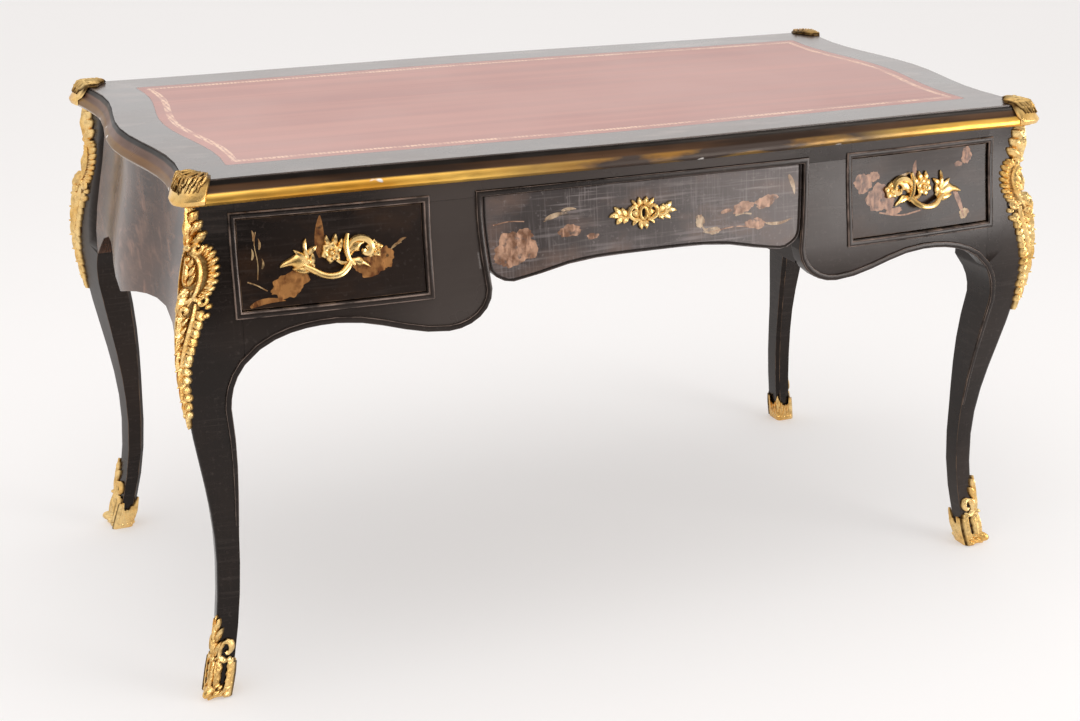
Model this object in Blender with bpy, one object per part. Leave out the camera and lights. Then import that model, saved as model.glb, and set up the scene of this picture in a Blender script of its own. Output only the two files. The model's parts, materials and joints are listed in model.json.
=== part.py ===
"""A serpentine writing table: black lacquer, three drawers, leather top and gilt-bronze mounts.

Metres, +Z up. The front faces -Y, the length runs along X, and the origin is on the floor
under the middle of the table. Plan curves are written for one quarter, with x towards an end
and y towards the front or the back, and the four quarters are mirrored from it.
"""

import math

import bmesh
import bpy
from mathutils import Matrix

# Clearances
GAP = 0.0003
FACE_GAP = 0.0006
BACK_GAP = 0.0009
RUN = 0.0012

# Top: board, leather and edge moulding
TABLE_HEIGHT = 0.770
TOP_LENGTH = 1.354
TOP_DEPTH = 0.663
TOP_THICK = 0.034
TOP_CORNER_RADIUS = 0.014
END_WAVE = 0.012
END_HOLLOW = 0.205
FRONT_WAVE = 0.0055
FRONT_HOLLOW = 0.560
LEATHER_BORDER = 0.064
LEATHER_THICK = 0.002
LEATHER_CORNER = 0.006
EDGE_PROJECTION = 0.015
EDGE_ROUND = 0.0085
EDGE_QUIRK = 0.0025

# Carcase: how far its faces stay inside the board, and how they swell outwards going down
END_OVERHANG = 0.0105
FRONT_OVERHANG = 0.002
FRONT_FALL = 0.019
BELLY = 0.025
RAIL_HEIGHT = 0.025
RAIL_THICK = 0.024
PANEL_THICK = 0.022
PARTITION_THICK = 0.015
POST_FRONT = 0.054
POST_END = 0.058

# Drawers and the kneehole between them
SIDE_OPENING_HEIGHT = 0.1245
KNEEHOLE_HALF = 0.262
DIVIDER_WIDTH = 0.0875
LOBE_SWELL = 0.009
LOBE_SWELL_HEIGHT = 0.115
LOBE_WIDTH = 0.067
LOBE_HEIGHT = 0.0545
LOBE_START = 0.0045
ARCH_RISE = 0.0305
ARCH_RUN = 0.129
ARCH_FULLNESS = 2.35
END_TIP_DROP = 0.0045
END_ARCH_RISE = 0.033
END_ARCH_RUN = 0.093
END_ARCH_FULLNESS = 2.0
EAR_DROP = 0.108
CENTRE_LOW = 0.124
CENTRE_RISE = 0.021
CENTRE_CORNER = 0.034
CENTRE_CORNER_RISE = 0.026
DRAWER_RECESS = 0.002
FRONT_THICK = 0.020
DRAWER_LENGTH = 0.460
SIDE_THICK = 0.010
BOTTOM_THICK = 0.007
BOTTOM_GROOVE = 0.004
BOTTOM_RAISE = 0.008
BOX_INSET = 0.005
BOX_DROP = 0.006
RUNNER_SHELF = 0.022
RUNNER_HEIGHT = 0.018
RUNNER_GUIDE = 0.014
BEAD_WIDTH = 0.010
BEAD_HEIGHT = 0.004
LEG_BEAD_SHARE = 0.55
LEG_BEAD_ABOVE_ANKLE = 0.060

# Legs
KNEE_DROP = 0.0025
ANKLE_HEIGHT = 0.200
ANKLE_IN = 0.012
FOOT_OUT = 0.023
LEG_WIDTH = 0.060
ANKLE_WIDTH = 0.0335
FOOT_WIDTH = 0.030
LEG_CORNER_RADIUS = 0.007
LEG_CORNER_FLAT = 0.35
LEG_INNER_RADIUS = 0.006

# Gilt-bronze mounts
BRONZE = 0.0025
CAP_REACH = 0.046
CAP_LAP = 0.55
CAP_TAPER = 0.6
CAP_SWELL = 0.0025
CHUTE_LENGTH = 0.300
CHUTE_TOP = 0.006
CHUTE_WIDTH = 0.042
CHUTE_RELIEF = 0.0105
CHUTE_RIM = 0.0035
SABOT_HEIGHT = 0.118
SABOT_RIM = 0.042
SABOT_BACK = 1.25
SABOT_LEAF_CURVE = 1.6
SABOT_TOE_CURVE = 1.5
SABOT_FLOOR = 0.003
SABOT_TOE = 0.012
PULL_LENGTH = 0.140
PULL_HEIGHT = 0.056
PULL_STAND = 0.014
PULL_GRIP = 0.0042
ESCUTCHEON_WIDTH = 0.107
ESCUTCHEON_HEIGHT = 0.040
ESCUTCHEON_BODY = 0.046
ESCUTCHEON_LOBES = 7
ESCUTCHEON_LOBE = 0.1
ESCUTCHEON_SPRAY = 0.32
KEYHOLE_WIDTH = 0.006
KEYHOLE_HEIGHT = 0.012

# Lock in the middle drawer, a little left of its middle
KEY_OFFSET = -0.010
LOCK_WIDTH = 0.060
LOCK_HEIGHT = 0.066
KEY_DROP = 0.045
LOCK_THICK = 0.012
LOCK_DEPTH_IN_FRONT = 0.009
BOLT_WIDTH = 0.024
BOLT_THICK = 0.005
BOLT_LENGTH = 0.020
BOLT_TRAVEL = 0.009
BOLT_CLEAR = 0.0008

# Levels and lines that follow from the sizes above
UNDER_TOP = TABLE_HEIGHT - TOP_THICK
FRIEZE_TOP = UNDER_TOP - GAP
RAIL_BOTTOM = UNDER_TOP - RAIL_HEIGHT
OPENING_BOTTOM = RAIL_BOTTOM - SIDE_OPENING_HEIGHT
SWELL_Z = OPENING_BOTTOM - LOBE_START
LOBE_Z = SWELL_Z - LOBE_HEIGHT
ARCH_Z = LOBE_Z + ARCH_RISE
EAR_Z = ARCH_Z - EAR_DROP
END_TIP_Z = LOBE_Z - END_TIP_DROP
END_ARCH_Z = END_TIP_Z + END_ARCH_RISE
LEG_BEAD_Z = ANKLE_HEIGHT + LEG_BEAD_ABOVE_ANKLE
KNEE_Z = LOBE_Z - KNEE_DROP
CENTRE_LOW_Z = RAIL_BOTTOM - CENTRE_LOW
HALF_LENGTH = TOP_LENGTH / 2 - END_OVERHANG
FRONT_MIDDLE = TOP_DEPTH / 2 + FRONT_WAVE - FRONT_OVERHANG
JOINT_X = HALF_LENGTH - POST_FRONT
JOINT_Y = FRONT_MIDDLE - FRONT_FALL - POST_END
DIVIDER_OUT = KNEEHOLE_HALF + DIVIDER_WIDTH
LOBE_IN = KNEEHOLE_HALF - LOBE_SWELL
LOBE_X = LOBE_IN + LOBE_WIDTH
ARCH_X = JOINT_X - ARCH_RUN
END_ARCH_Y = JOINT_Y - END_ARCH_RUN
PARTITION_X = LOBE_IN + PARTITION_THICK / 2
PARTITION_BOTTOM = LOBE_Z + LOBE_HEIGHT / 2
FRONT_STEPS = 7
CORNER_STEPS = 4
END_STEPS = 7
QUARTERS = {"front_left": (-1, -1), "front_right": (1, -1), "back_left": (-1, 1), "back_right": (1, 1)}
SIDES = {"left": -1, "right": 1}

for old in list(bpy.data.objects):
    bpy.data.objects.remove(old)


def finish_colour(name, colour, roughness, metallic=0.0):
    material = bpy.data.materials.new(name)
    material.use_nodes = True
    shader = material.node_tree.nodes["Principled BSDF"]
    shader.inputs["Base Color"].default_value = (*colour, 1)
    shader.inputs["Roughness"].default_value = roughness
    shader.inputs["Metallic"].default_value = metallic
    return material


LACQUER = finish_colour("black_lacquer", (0.022, 0.019, 0.018), 0.38)
LEATHER = finish_colour("rose_leather", (0.50, 0.27, 0.25), 0.6)
GILT = finish_colour("gilt_moulding", (0.36, 0.23, 0.07), 0.4)
BRONZE_GILT = finish_colour("gilt_bronze", (0.78, 0.52, 0.17), 0.3, 1.0)
OAK = finish_colour("drawer_oak", (0.30, 0.19, 0.10), 0.65)
STEEL = finish_colour("lock_steel", (0.42, 0.41, 0.40), 0.4, 1.0)


# Curves of the design


def ease(t):
    """A cosine ease from 0 to 1."""
    return (1 - math.cos(math.pi * min(max(t, 0.0), 1.0))) / 2


def mix(a, b, t):
    return a + (b - a) * t


def belly(z):
    """How far every face stands out at height z: the frieze swells to the knee, the leg draws in."""
    if z >= KNEE_Z:
        return BELLY * ease((UNDER_TOP - z) / (UNDER_TOP - KNEE_Z))
    if z >= ANKLE_HEIGHT:
        return BELLY - (BELLY + ANKLE_IN) * ease((KNEE_Z - z) / (KNEE_Z - ANKLE_HEIGHT))
    return FOOT_OUT * (1 - z / ANKLE_HEIGHT) ** 2 - ANKLE_IN


def top_front(x):
    return TOP_DEPTH / 2 + FRONT_WAVE * math.cos(math.pi * x / FRONT_HOLLOW)


def top_end(y):
    return TOP_LENGTH / 2 + END_WAVE * math.cos(math.pi * y / END_HOLLOW)


def frieze_front(x):
    return FRONT_MIDDLE - FRONT_FALL * abs(x / HALF_LENGTH) ** 3


def frieze_end(y):
    return HALF_LENGTH + END_WAVE * math.cos(math.pi * y / END_HOLLOW)


TOP_PLAN = (top_front, top_end)
FRIEZE_PLAN = (frieze_front, frieze_end)


def corner(plan, out):
    """Where the front and end curves of a plan, both moved outwards by out, meet."""
    front, end = plan
    x = HALF_LENGTH
    y = FRONT_MIDDLE
    for _ in range(12):
        y = front(x) + out
        x = end(y) + out
    return x, y


def round_corner(plan, out, radius, along):
    """A point near the rounded corner: along is minus on the front, plus on the end."""
    front, end = plan
    cx, cy = corner(plan, out)
    if along <= -radius:
        x = cx + along
        return x, front(x) + out
    if along >= radius:
        y = cy - along
        return end(y) + out, y
    t = (along / radius + 1) / 2
    ax = cx - radius
    by = cy - radius
    ay = front(ax) + out
    bx = end(by) + out
    return (
        (1 - t) ** 2 * ax + 2 * t * (1 - t) * cx + t * t * bx,
        (1 - t) ** 2 * ay + 2 * t * (1 - t) * cy + t * t * by,
    )


def quarter_point(plan, out, radius, u):
    """Runs from the middle of the front (0) round the corner (1 to 2) to the middle of the end (3)."""
    cx, cy = corner(plan, out)
    if u < 1:
        x = u * (cx - radius)
        return x, plan[0](x) + out
    if u > 2:
        y = (3 - u) * (cy - radius)
        return plan[1](y) + out, y
    return round_corner(plan, out, radius, (2 * u - 3) * radius)


def kneehole_edge(z):
    """Half width of the kneehole, which the swelling lobes narrow towards the bottom."""
    t = min(max((z - SWELL_Z) / LOBE_SWELL_HEIGHT, 0.0), 1.0)
    return KNEEHOLE_HALF - LOBE_SWELL * (1 - math.sin(t * math.pi / 2))


def leg_width(z):
    if z >= ANKLE_HEIGHT:
        return mix(ANKLE_WIDTH, LEG_WIDTH, ease((z - ANKLE_HEIGHT) / (EAR_Z - ANKLE_HEIGHT)))
    return mix(FOOT_WIDTH, ANKLE_WIDTH, z / ANKLE_HEIGHT)


def leg_line(z, axis):
    """Inner face of a leg's shaft, seen on the front (axis 0) or on the end (axis 1)."""
    return corner(FRIEZE_PLAN, belly(z))[axis] - leg_width(z)


def arch_share(share, fullness):
    """A quarter of a superellipse, which falls from 1 to 0 as share goes from 0 to 1."""
    return (1 - min(max(share, 0.0), 1.0) ** fullness) ** (1 / fullness)


def apron_edge(x):
    """Lower edge of the front: from the bottom of the lobe over an arch that runs into the leg."""
    if x <= ARCH_X:
        return LOBE_Z + ARCH_RISE * ease((x - LOBE_X) / (ARCH_X - LOBE_X))
    reach = leg_line(EAR_Z, 0) - ARCH_X
    return mix(EAR_Z, ARCH_Z, arch_share((x - ARCH_X) / reach, ARCH_FULLNESS))


def lobe_outline(steps):
    """The lobe's round side, from its widest place down to its lowest."""
    for k in range(steps + 1):
        a = k / steps * math.pi / 2
        yield LOBE_X - LOBE_WIDTH * math.cos(a), SWELL_Z - LOBE_HEIGHT * math.sin(a)


def end_apron_edge(y):
    """Lower edge of an end: a drop in the middle between two arches."""
    y = abs(y)
    if y <= END_ARCH_Y:
        return END_TIP_Z + END_ARCH_RISE * math.sin(y / END_ARCH_Y * math.pi / 2)
    reach = leg_line(EAR_Z, 1) - END_ARCH_Y
    return mix(EAR_Z, END_ARCH_Z, arch_share((y - END_ARCH_Y) / reach, END_ARCH_FULLNESS))


def centre_edge(x, half):
    """Lower edge of the middle drawer front, whose half width at the bottom is half."""
    low = half - CENTRE_CORNER
    x = abs(x)
    if x <= low:
        t = (x / low) ** 2.2
        return CENTRE_LOW_Z + CENTRE_RISE * (1 - t * t * (3 - 2 * t))
    t = min((x - low) / CENTRE_CORNER, 1.0)
    return CENTRE_LOW_Z + CENTRE_CORNER_RISE * (1 - math.sqrt(1 - t * t))


def front_y(x, z, inset):
    """Y of the front face, or of a surface that many metres behind it."""
    return inset - frieze_front(x) - belly(z)


def back_y(x, z, inset):
    return -front_y(x, z, inset)


def spread(first, last, count):
    """Evenly spaced values, both ends included."""
    return [mix(first, last, k / count) for k in range(count + 1)]


# Ways of making a solid


def add_object(name, bm, material, parent=None):
    bmesh.ops.recalc_face_normals(bm, faces=bm.faces)
    mesh = bpy.data.meshes.new(name)
    bm.to_mesh(mesh)
    bm.free()
    mesh.materials.append(material)
    mesh.shade_smooth()
    mesh.set_sharp_from_angle(angle=math.radians(40))
    item = bpy.data.objects.new(name, mesh)
    bpy.context.collection.objects.link(item)
    if parent:
        item.parent = parent
        item.matrix_parent_inverse = Matrix.Translation(parent.location).inverted()
    return item


def add_slide(name, location):
    """An empty on a sliding joint's axis, which carries the pieces that slide."""
    empty = bpy.data.objects.new(name, None)
    empty.location = location
    bpy.context.collection.objects.link(empty)
    return empty


def board_mesh(grid, near, far, keep=lambda i, j: True):
    """A board drawn as a grid of points, with a near face and a far face that place each of them."""
    points = [point for column in grid for point in column]
    rows = len(grid[0])
    bm = bmesh.new()
    number = bm.verts.layers.int.new("point")
    verts = [bm.verts.new(near(*point)) for point in points]
    for k, v in enumerate(verts):
        v[number] = k
    for i in range(len(grid) - 1):
        for j in range(rows - 1):
            if keep(i, j):
                a = i * rows + j
                bm.faces.new((verts[a], verts[a + rows], verts[a + rows + 1], verts[a + 1]))
    unused = [v for v in bm.verts if not v.link_faces]
    bmesh.ops.delete(bm, geom=unused, context="VERTS")
    made = bmesh.ops.extrude_face_region(bm, geom=bm.faces[:], use_keep_orig=True)
    for v in made["geom"]:
        if isinstance(v, bmesh.types.BMVert):
            v.co = far(*points[v[number]])
    return bm


def loft_mesh(rings, closed=False):
    """Skins rings of points; an open loft gets a cap at each end."""
    bm = bmesh.new()
    loops = [[bm.verts.new(point) for point in ring] for ring in rings]
    pairs = list(zip(loops, loops[1:]))
    if closed:
        pairs.append((loops[-1], loops[0]))
    count = len(loops[0])
    for low, high in pairs:
        for k in range(count):
            n = (k + 1) % count
            bm.faces.new((low[k], low[n], high[n], high[k]))
    if not closed:
        bm.faces.new(loops[0])
        bm.faces.new(loops[-1])
    return bm


def front_board_mesh(grid, inset, thickness, keep=lambda i, j: True):
    """A board whose two faces both follow the swelling front."""
    return board_mesh(
        grid,
        lambda x, z: (x, front_y(x, z, inset), z),
        lambda x, z: (x, front_y(x, z, inset + thickness), z),
        keep,
    )


def deep_board_mesh(grid, inset, far_y, keep=lambda i, j: True):
    """A board that runs from behind the front to far_y, a level or a function of (x, z)."""
    return board_mesh(
        grid,
        lambda x, z: (x, front_y(x, z, inset), z),
        lambda x, z: (x, far_y(x, z) if callable(far_y) else far_y, z),
        keep,
    )


def box_mesh(low, high):
    bm = bmesh.new()
    bmesh.ops.create_cube(bm, size=1)
    for v in bm.verts:
        v.co = [mix(a, b, c + 0.5) for a, b, c in zip(low, high, v.co)]
    return bm


def cut(item, cutter_bm, name, operation="DIFFERENCE"):
    """Cuts a hidden helper out of an object, or joins it on, with a Boolean modifier."""
    cutter = add_object(name, cutter_bm, item.data.materials[0])
    cutter.hide_render = True
    cutter.display_type = "WIRE"
    modifier = item.modifiers.new(name, "BOOLEAN")
    modifier.object = cutter
    modifier.operation = operation
    modifier.solver = "EXACT"
    return cutter


def bead_share(z):
    """The bead narrows as it runs down the leg."""
    return mix(LEG_BEAD_SHARE, 1.0, min((z - LEG_BEAD_Z) / (EAR_Z - LEG_BEAD_Z), 1.0))


def bead_rings(path, closed, face, height, seat):
    """Sections of a half-round bead along an (x, z) path, lying on the left of it on a face."""
    count = len(path)
    rings = []
    for k, (x, z) in enumerate(path):
        before = path[k - 1] if closed or k else path[k]
        after = path[(k + 1) % count] if closed or k < count - 1 else path[k]
        first = (x - before[0], z - before[1])
        second = (after[0] - x, after[1] - z)
        if first == (0, 0):
            first = second
        if second == (0, 0):
            second = first
        first = [c / math.hypot(*first) for c in first]
        second = [c / math.hypot(*second) for c in second]
        along = (first[0] + second[0], first[1] + second[1])
        size = math.hypot(*along)
        scale = BEAD_WIDTH * bead_share(z) / max(size / 2, 0.5)
        side = (-along[1] / size * scale, along[0] / size * scale)
        ring = []
        for across, lift in ((0, 0), (0.12, 0.72), (0.5, 1), (0.88, 0.72), (1, 0)):
            px = x + side[0] * across
            pz = z + side[1] * across
            ring.append((px, face(px, pz, -mix(seat, height * bead_share(z), lift)), pz))
        rings.append(ring)
    return rings


# Top


def top_outline(out, radius):
    """The whole outline of the top, moved outwards by out."""
    us = spread(0, 1, FRONT_STEPS) + spread(1, 2, CORNER_STEPS)[1:] + spread(2, 3, END_STEPS)[1:]
    quarter = [quarter_point(TOP_PLAN, out, radius, u) for u in us]
    turned = list(reversed(quarter))
    outline = [(x, -y) for x, y in quarter]
    outline += [(x, y) for x, y in turned][1:]
    outline += [(-x, y) for x, y in quarter][1:]
    outline += [(-x, -y) for x, y in turned][1:-1]
    return outline


def build_top():
    edge = top_outline(0, TOP_CORNER_RADIUS)
    recess = top_outline(GAP - LEATHER_BORDER, LEATHER_CORNER)
    floor_z = TABLE_HEIGHT - LEATHER_THICK - GAP
    levels = ((edge, UNDER_TOP), (edge, TABLE_HEIGHT), (recess, TABLE_HEIGHT), (recess, floor_z))
    rings = [[(x, y, z) for x, y in outline] for outline, z in levels]
    add_object("top_board", loft_mesh(rings), LACQUER)
    leather = top_outline(-LEATHER_BORDER, LEATHER_CORNER)
    rings = [[(x, y, z) for x, y in leather] for z in (floor_z + GAP, TABLE_HEIGHT)]
    add_object("leather_inset", loft_mesh(rings), LEATHER)


def edge_profile():
    """The moulding's section as (out, down) from the board's arris: quirk, cove and round."""
    round_out = EDGE_PROJECTION - EDGE_ROUND
    round_down = TOP_THICK - EDGE_ROUND
    points = [(GAP, TOP_THICK), (GAP, EDGE_QUIRK), (EDGE_QUIRK, EDGE_QUIRK)]
    start = (round_out + EDGE_ROUND / 2, round_down - EDGE_ROUND * math.sqrt(3) / 2)
    for a in (0, 45):
        c = math.radians(a)
        points.append((
            mix(start[0], EDGE_QUIRK * 1.4, math.cos(c)),
            mix(EDGE_QUIRK * 2, start[1], math.sin(c)),
        ))
    for a in (60, 20, -20, -60, -90):
        c = math.radians(a)
        points.append((round_out + EDGE_ROUND * math.cos(c), round_down - EDGE_ROUND * math.sin(c)))
    return points


def build_edge_mouldings():
    """Four lengths, mitred at the middle of each corner."""
    front_us = spread(0, 1, FRONT_STEPS) + spread(1, 1.5, CORNER_STEPS // 2)[1:]
    end_us = spread(1.5, 2, CORNER_STEPS // 2)[:-1] + spread(2, 3, END_STEPS)
    for name, us in (("front", front_us), ("back", front_us), ("left", end_us), ("right", end_us)):
        lengthwise = us is front_us
        half = []
        for u in us:
            ring = []
            for out, down in edge_profile():
                x, y = quarter_point(TOP_PLAN, out, TOP_CORNER_RADIUS + out, u)
                if u == 1.5:
                    x, y = (x - GAP, y) if lengthwise else (x, y - GAP)
                ring.append((x, y, TABLE_HEIGHT - down))
            half.append(ring)
        if lengthwise:
            side = -1 if name == "front" else 1
            mirrored = [[(-x, side * y, z) for x, y, z in ring] for ring in reversed(half[1:])]
            whole = mirrored + [[(x, side * y, z) for x, y, z in ring] for ring in half]
        else:
            side = SIDES[name]
            mirrored = [[(side * x, y, z) for x, y, z in ring] for ring in half]
            whole = mirrored + [[(side * x, -y, z) for x, y, z in ring] for ring in reversed(half[:-1])]
        add_object(f"edge_moulding_{name}", loft_mesh(whole), GILT)


def build_corner_mounts():
    """Clasps that lap over the top in a leaf and wrap the moulding at each corner."""
    round_down = TOP_THICK - EDGE_ROUND
    seat_out = EDGE_PROJECTION + GAP
    nose_out = seat_out + BRONZE
    pivot_x, pivot_y = corner(TOP_PLAN, -CAP_REACH)
    sections = []
    for along in spread(-CAP_REACH, CAP_REACH, 8):
        t = abs(along) / CAP_REACH
        lap = CAP_LAP * (1 - CAP_TAPER * t**2)
        swell = CAP_SWELL * math.sqrt(1 - t**4)
        path = [
            (0, -FACE_GAP, lap),
            (EDGE_QUIRK, -FACE_GAP, 0),
            (EDGE_PROJECTION - EDGE_ROUND / 2, round_down - EDGE_ROUND - GAP, 0),
            (seat_out, round_down - EDGE_ROUND / 2, 0),
            (seat_out, round_down + EDGE_ROUND / 2, 0),
            (nose_out, round_down + EDGE_ROUND / 2, 0),
            (nose_out + swell, round_down - EDGE_ROUND / 4, 0),
            (EDGE_PROJECTION, round_down - EDGE_ROUND - BRONZE, 0),
            (EDGE_QUIRK + BRONZE, -BRONZE, 0),
            (0, -FACE_GAP - BRONZE, lap),
        ]
        ring = []
        for out, down, inward in path:
            x, y = round_corner(TOP_PLAN, out, TOP_CORNER_RADIUS + out, along)
            ring.append((mix(x, pivot_x, inward), mix(y, pivot_y, inward), TABLE_HEIGHT - down))
        sections.append(ring)
    for name, (sx, sy) in QUARTERS.items():
        rings = [[(sx * x, sy * y, z) for x, y, z in ring] for ring in sections]
        add_object(f"corner_mount_{name}", loft_mesh(rings), BRONZE_GILT)


# Legs and what they wear


def leg_inner(z, axis):
    """Inner face of a leg on the front (axis 0) or the end (axis 1), with the ear below the apron."""
    line = leg_line(min(z, EAR_Z), axis)
    if z <= EAR_Z:
        return line
    arch_at, arch_z, fullness, joint = (
        (ARCH_X, ARCH_Z, ARCH_FULLNESS, JOINT_X),
        (END_ARCH_Y, END_ARCH_Z, END_ARCH_FULLNESS, JOINT_Y),
    )[axis]
    share = arch_share((z - EAR_Z) / (arch_z - EAR_Z), fullness)
    return max(mix(arch_at, line, share), joint)


def leg_ring(z, out=0.0):
    """The leg's section at height z, or one that stands out from it, as points of one quarter."""
    b = belly(z) + out
    cx, cy = corner(FRIEZE_PLAN, b)
    ix = leg_inner(z, 0) - out
    iy = leg_inner(z, 1) - out
    radius = LEG_CORNER_RADIUS + out
    bend = LEG_INNER_RADIUS
    width = (cx - ix, cy - iy)
    flat = radius * LEG_CORNER_FLAT
    alongs = [-width[0], -(width[0] + radius) / 2, -radius, -flat]
    alongs += [flat, radius, (width[1] + radius) / 2, width[1]]
    ring = [round_corner(FRIEZE_PLAN, b, radius, along) for along in alongs]
    ring += [(ix + bend, iy), (ix, iy + bend)]
    return ring


def leg_levels():
    high, low = sorted((apron_edge(JOINT_X), end_apron_edge(JOINT_Y)), reverse=True)
    frieze = spread(FRIEZE_TOP, high, 8)
    ears = [low] + spread(low, EAR_Z, 4)[1:]
    shaft = spread(EAR_Z, ANKLE_HEIGHT, 6)[1:] + spread(ANKLE_HEIGHT, SABOT_FLOOR + GAP, 4)[1:]
    return frieze + ears + shaft


# The leg mount from its top to its tail: acanthus leaf, neck, shell, knot and husks. Each line has
# a share of the mount's length, of its half width and of its relief on the leg's corner
CHUTE_CURVE = (
    (0.00, 0.15, 0.70),
    (0.11, 0.49, 1.00),
    (0.155, 0.30, 0.60),
    (0.20, 0.76, 0.35),
    (0.29, 1.00, 0.20),
    (0.36, 0.92, 0.60),
    (0.385, 0.80, 0.85),
    (0.43, 0.93, 1.00),
    (0.49, 0.84, 1.00),
    (0.54, 0.66, 1.00),
    (0.63, 0.54, 1.00),
    (0.68, 0.32, 0.95),
    (0.78, 0.28, 0.80),
    (0.87, 0.25, 0.65),
    (1.00, 0.09, 0.25),
)
# Across one wing of the mount, from its edge to the corner: share of its half width, of the rim's
# relief and of the corner's relief; the last two places stay on the round of the corner
CHUTE_WING = ((1.0, 0.0, 0.0), (0.82, 1.0, 0.15), (0.5, 0.1, 0.4))
CHUTE_CORNER = ((0.55, 1.0, 0.85), (0.3, LEG_CORNER_FLAT, 1.0))


def build_chute(name, sx, sy):
    """A cast mount on the upper leg, modelled in relief on both faces of its corner."""
    bend = LEG_CORNER_RADIUS + FACE_GAP
    bm = bmesh.new()
    outer = []
    inner = []
    for down, wide, proud in CHUTE_CURVE:
        z = FRIEZE_TOP - CHUTE_TOP - CHUTE_LENGTH * down
        half = CHUTE_WIDTH * wide
        wing = [(half * share, rim, corner_share) for share, rim, corner_share in CHUTE_WING]
        for share, bend_share, corner_share in CHUTE_CORNER:
            wing.append((min(bend * bend_share, half * share), 0.0, corner_share))
        places = [(-along, rim, near) for along, rim, near in wing] + list(reversed(wing))
        for row, raised in ((outer, 1), (inner, 0)):
            line = []
            for along, rim, near in places:
                lift = raised * (BRONZE + CHUTE_RIM * rim * wide + CHUTE_RELIEF * near * proud)
                x, y = round_corner(FRIEZE_PLAN, belly(z) + FACE_GAP + lift, bend, along)
                line.append(bm.verts.new((sx * x, sy * y, z)))
            row.append(line)
    last = len(outer[0]) - 1
    for a, b, c, d in zip(outer, outer[1:], inner, inner[1:]):
        for k in range(last):
            bm.faces.new((a[k], a[k + 1], b[k + 1], b[k]))
            bm.faces.new((c[k], d[k], d[k + 1], c[k + 1]))
        bm.faces.new((a[0], b[0], d[0], c[0]))
        bm.faces.new((a[last], c[last], d[last], b[last]))
    for a, c in ((outer[0], inner[0]), (outer[-1], inner[-1])):
        for k in range(last):
            bm.faces.new((a[k], c[k], c[k + 1], a[k + 1]))
    add_object(f"leg_mount_{name}", bm, BRONZE_GILT)


def build_sabot(name, sx, sy):
    """A shoe round the foot: a low rim, a tall leaf up the corner and a scrolled toe."""
    count = len(leg_ring(0))
    middle = (count - 3) / 2
    levels = spread(0, 1, 4)

    def top_of(k):
        if k > count - 3:
            return SABOT_RIM * SABOT_BACK
        near = 1 - abs(k - middle) / middle
        return mix(SABOT_RIM, SABOT_HEIGHT, near**SABOT_LEAF_CURVE)

    def toe(k, z):
        if k > count - 3:
            return 0.0
        near = 1 - abs(k - middle) / middle
        return SABOT_TOE * near**2 * max(1 - z / SABOT_RIM, 0.0) ** SABOT_TOE_CURVE

    def point(k, z, out):
        x, y = leg_ring(z, out)[k]
        return sx * x, sy * y, z

    rings = []
    for level in levels:
        heights = [top_of(k) * level for k in range(count)]
        rings.append([point(k, z, FACE_GAP + BRONZE + toe(k, z)) for k, z in enumerate(heights)])
    for level in reversed(levels):
        heights = [max(top_of(k) * level, SABOT_FLOOR) for k in range(count)]
        rings.append([point(k, z, FACE_GAP) for k, z in enumerate(heights)])
    add_object(f"sabot_{name}", loft_mesh(rings), BRONZE_GILT)


def build_legs():
    rings = [(z, leg_ring(z)) for z in leg_levels()]
    for name, (sx, sy) in QUARTERS.items():
        placed = [[(sx * x, sy * y, z) for x, y in ring] for z, ring in rings]
        add_object(f"leg_{name}", loft_mesh(placed), LACQUER)
        build_chute(name, sx, sy)
        build_sabot(name, sx, sy)


# Carcase between the legs


def front_edge_path(sx):
    """Up the leg, along the arch and the lobe, then up the kneehole side to the rail."""
    path = [(leg_inner(z, 0), z) for z in spread(LEG_BEAD_Z, EAR_Z, 4)]
    path += [(leg_inner(z, 0), z) for z in spread(EAR_Z, apron_edge(JOINT_X), 4)[1:]]
    xs = spread(JOINT_X, ARCH_X, 6)[1:] + spread(ARCH_X, LOBE_X, 5)[1:]
    path += [(x, apron_edge(x)) for x in xs]
    path += list(reversed(list(lobe_outline(6))))[1:]
    path += [(kneehole_edge(z), z) for z in spread(SWELL_Z, RAIL_BOTTOM, 5)[1:]]
    return [(sx * x, z) for x, z in path]


def build_front_blocks():
    """Divider and shaped apron of one side, in one length of wood under the rail."""
    divider = list(lobe_outline(5)) + [(DIVIDER_OUT, apron_edge(DIVIDER_OUT))]
    xs = spread(DIVIDER_OUT, ARCH_X, 3) + spread(ARCH_X, JOINT_X - GAP, 7)[1:]
    apron = [(x, apron_edge(x)) for x in xs]
    lower = divider + apron[1:]
    last = len(divider) - 1
    low_rows = 4
    high_zs = spread(OPENING_BOTTOM, RAIL_BOTTOM - GAP, 5)[1:]
    for name, sx in SIDES.items():
        grid = []
        for i, (bx, bz) in enumerate(lower):
            t = min(i / last, 1.0)
            tx = mix(kneehole_edge(OPENING_BOTTOM), DIVIDER_OUT, t) if i <= last else bx
            column = [(mix(bx, tx, k), mix(bz, OPENING_BOTTOM, k)) for k in spread(0, 1, low_rows)]
            column += [(mix(kneehole_edge(z), DIVIDER_OUT, t), z) for z in high_zs]
            grid.append([(sx * x, z) for x, z in column])
        bm = front_board_mesh(grid, 0, RAIL_THICK, lambda i, j: j < low_rows or i < last)
        add_object(f"front_apron_{name}", bm, LACQUER)


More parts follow.
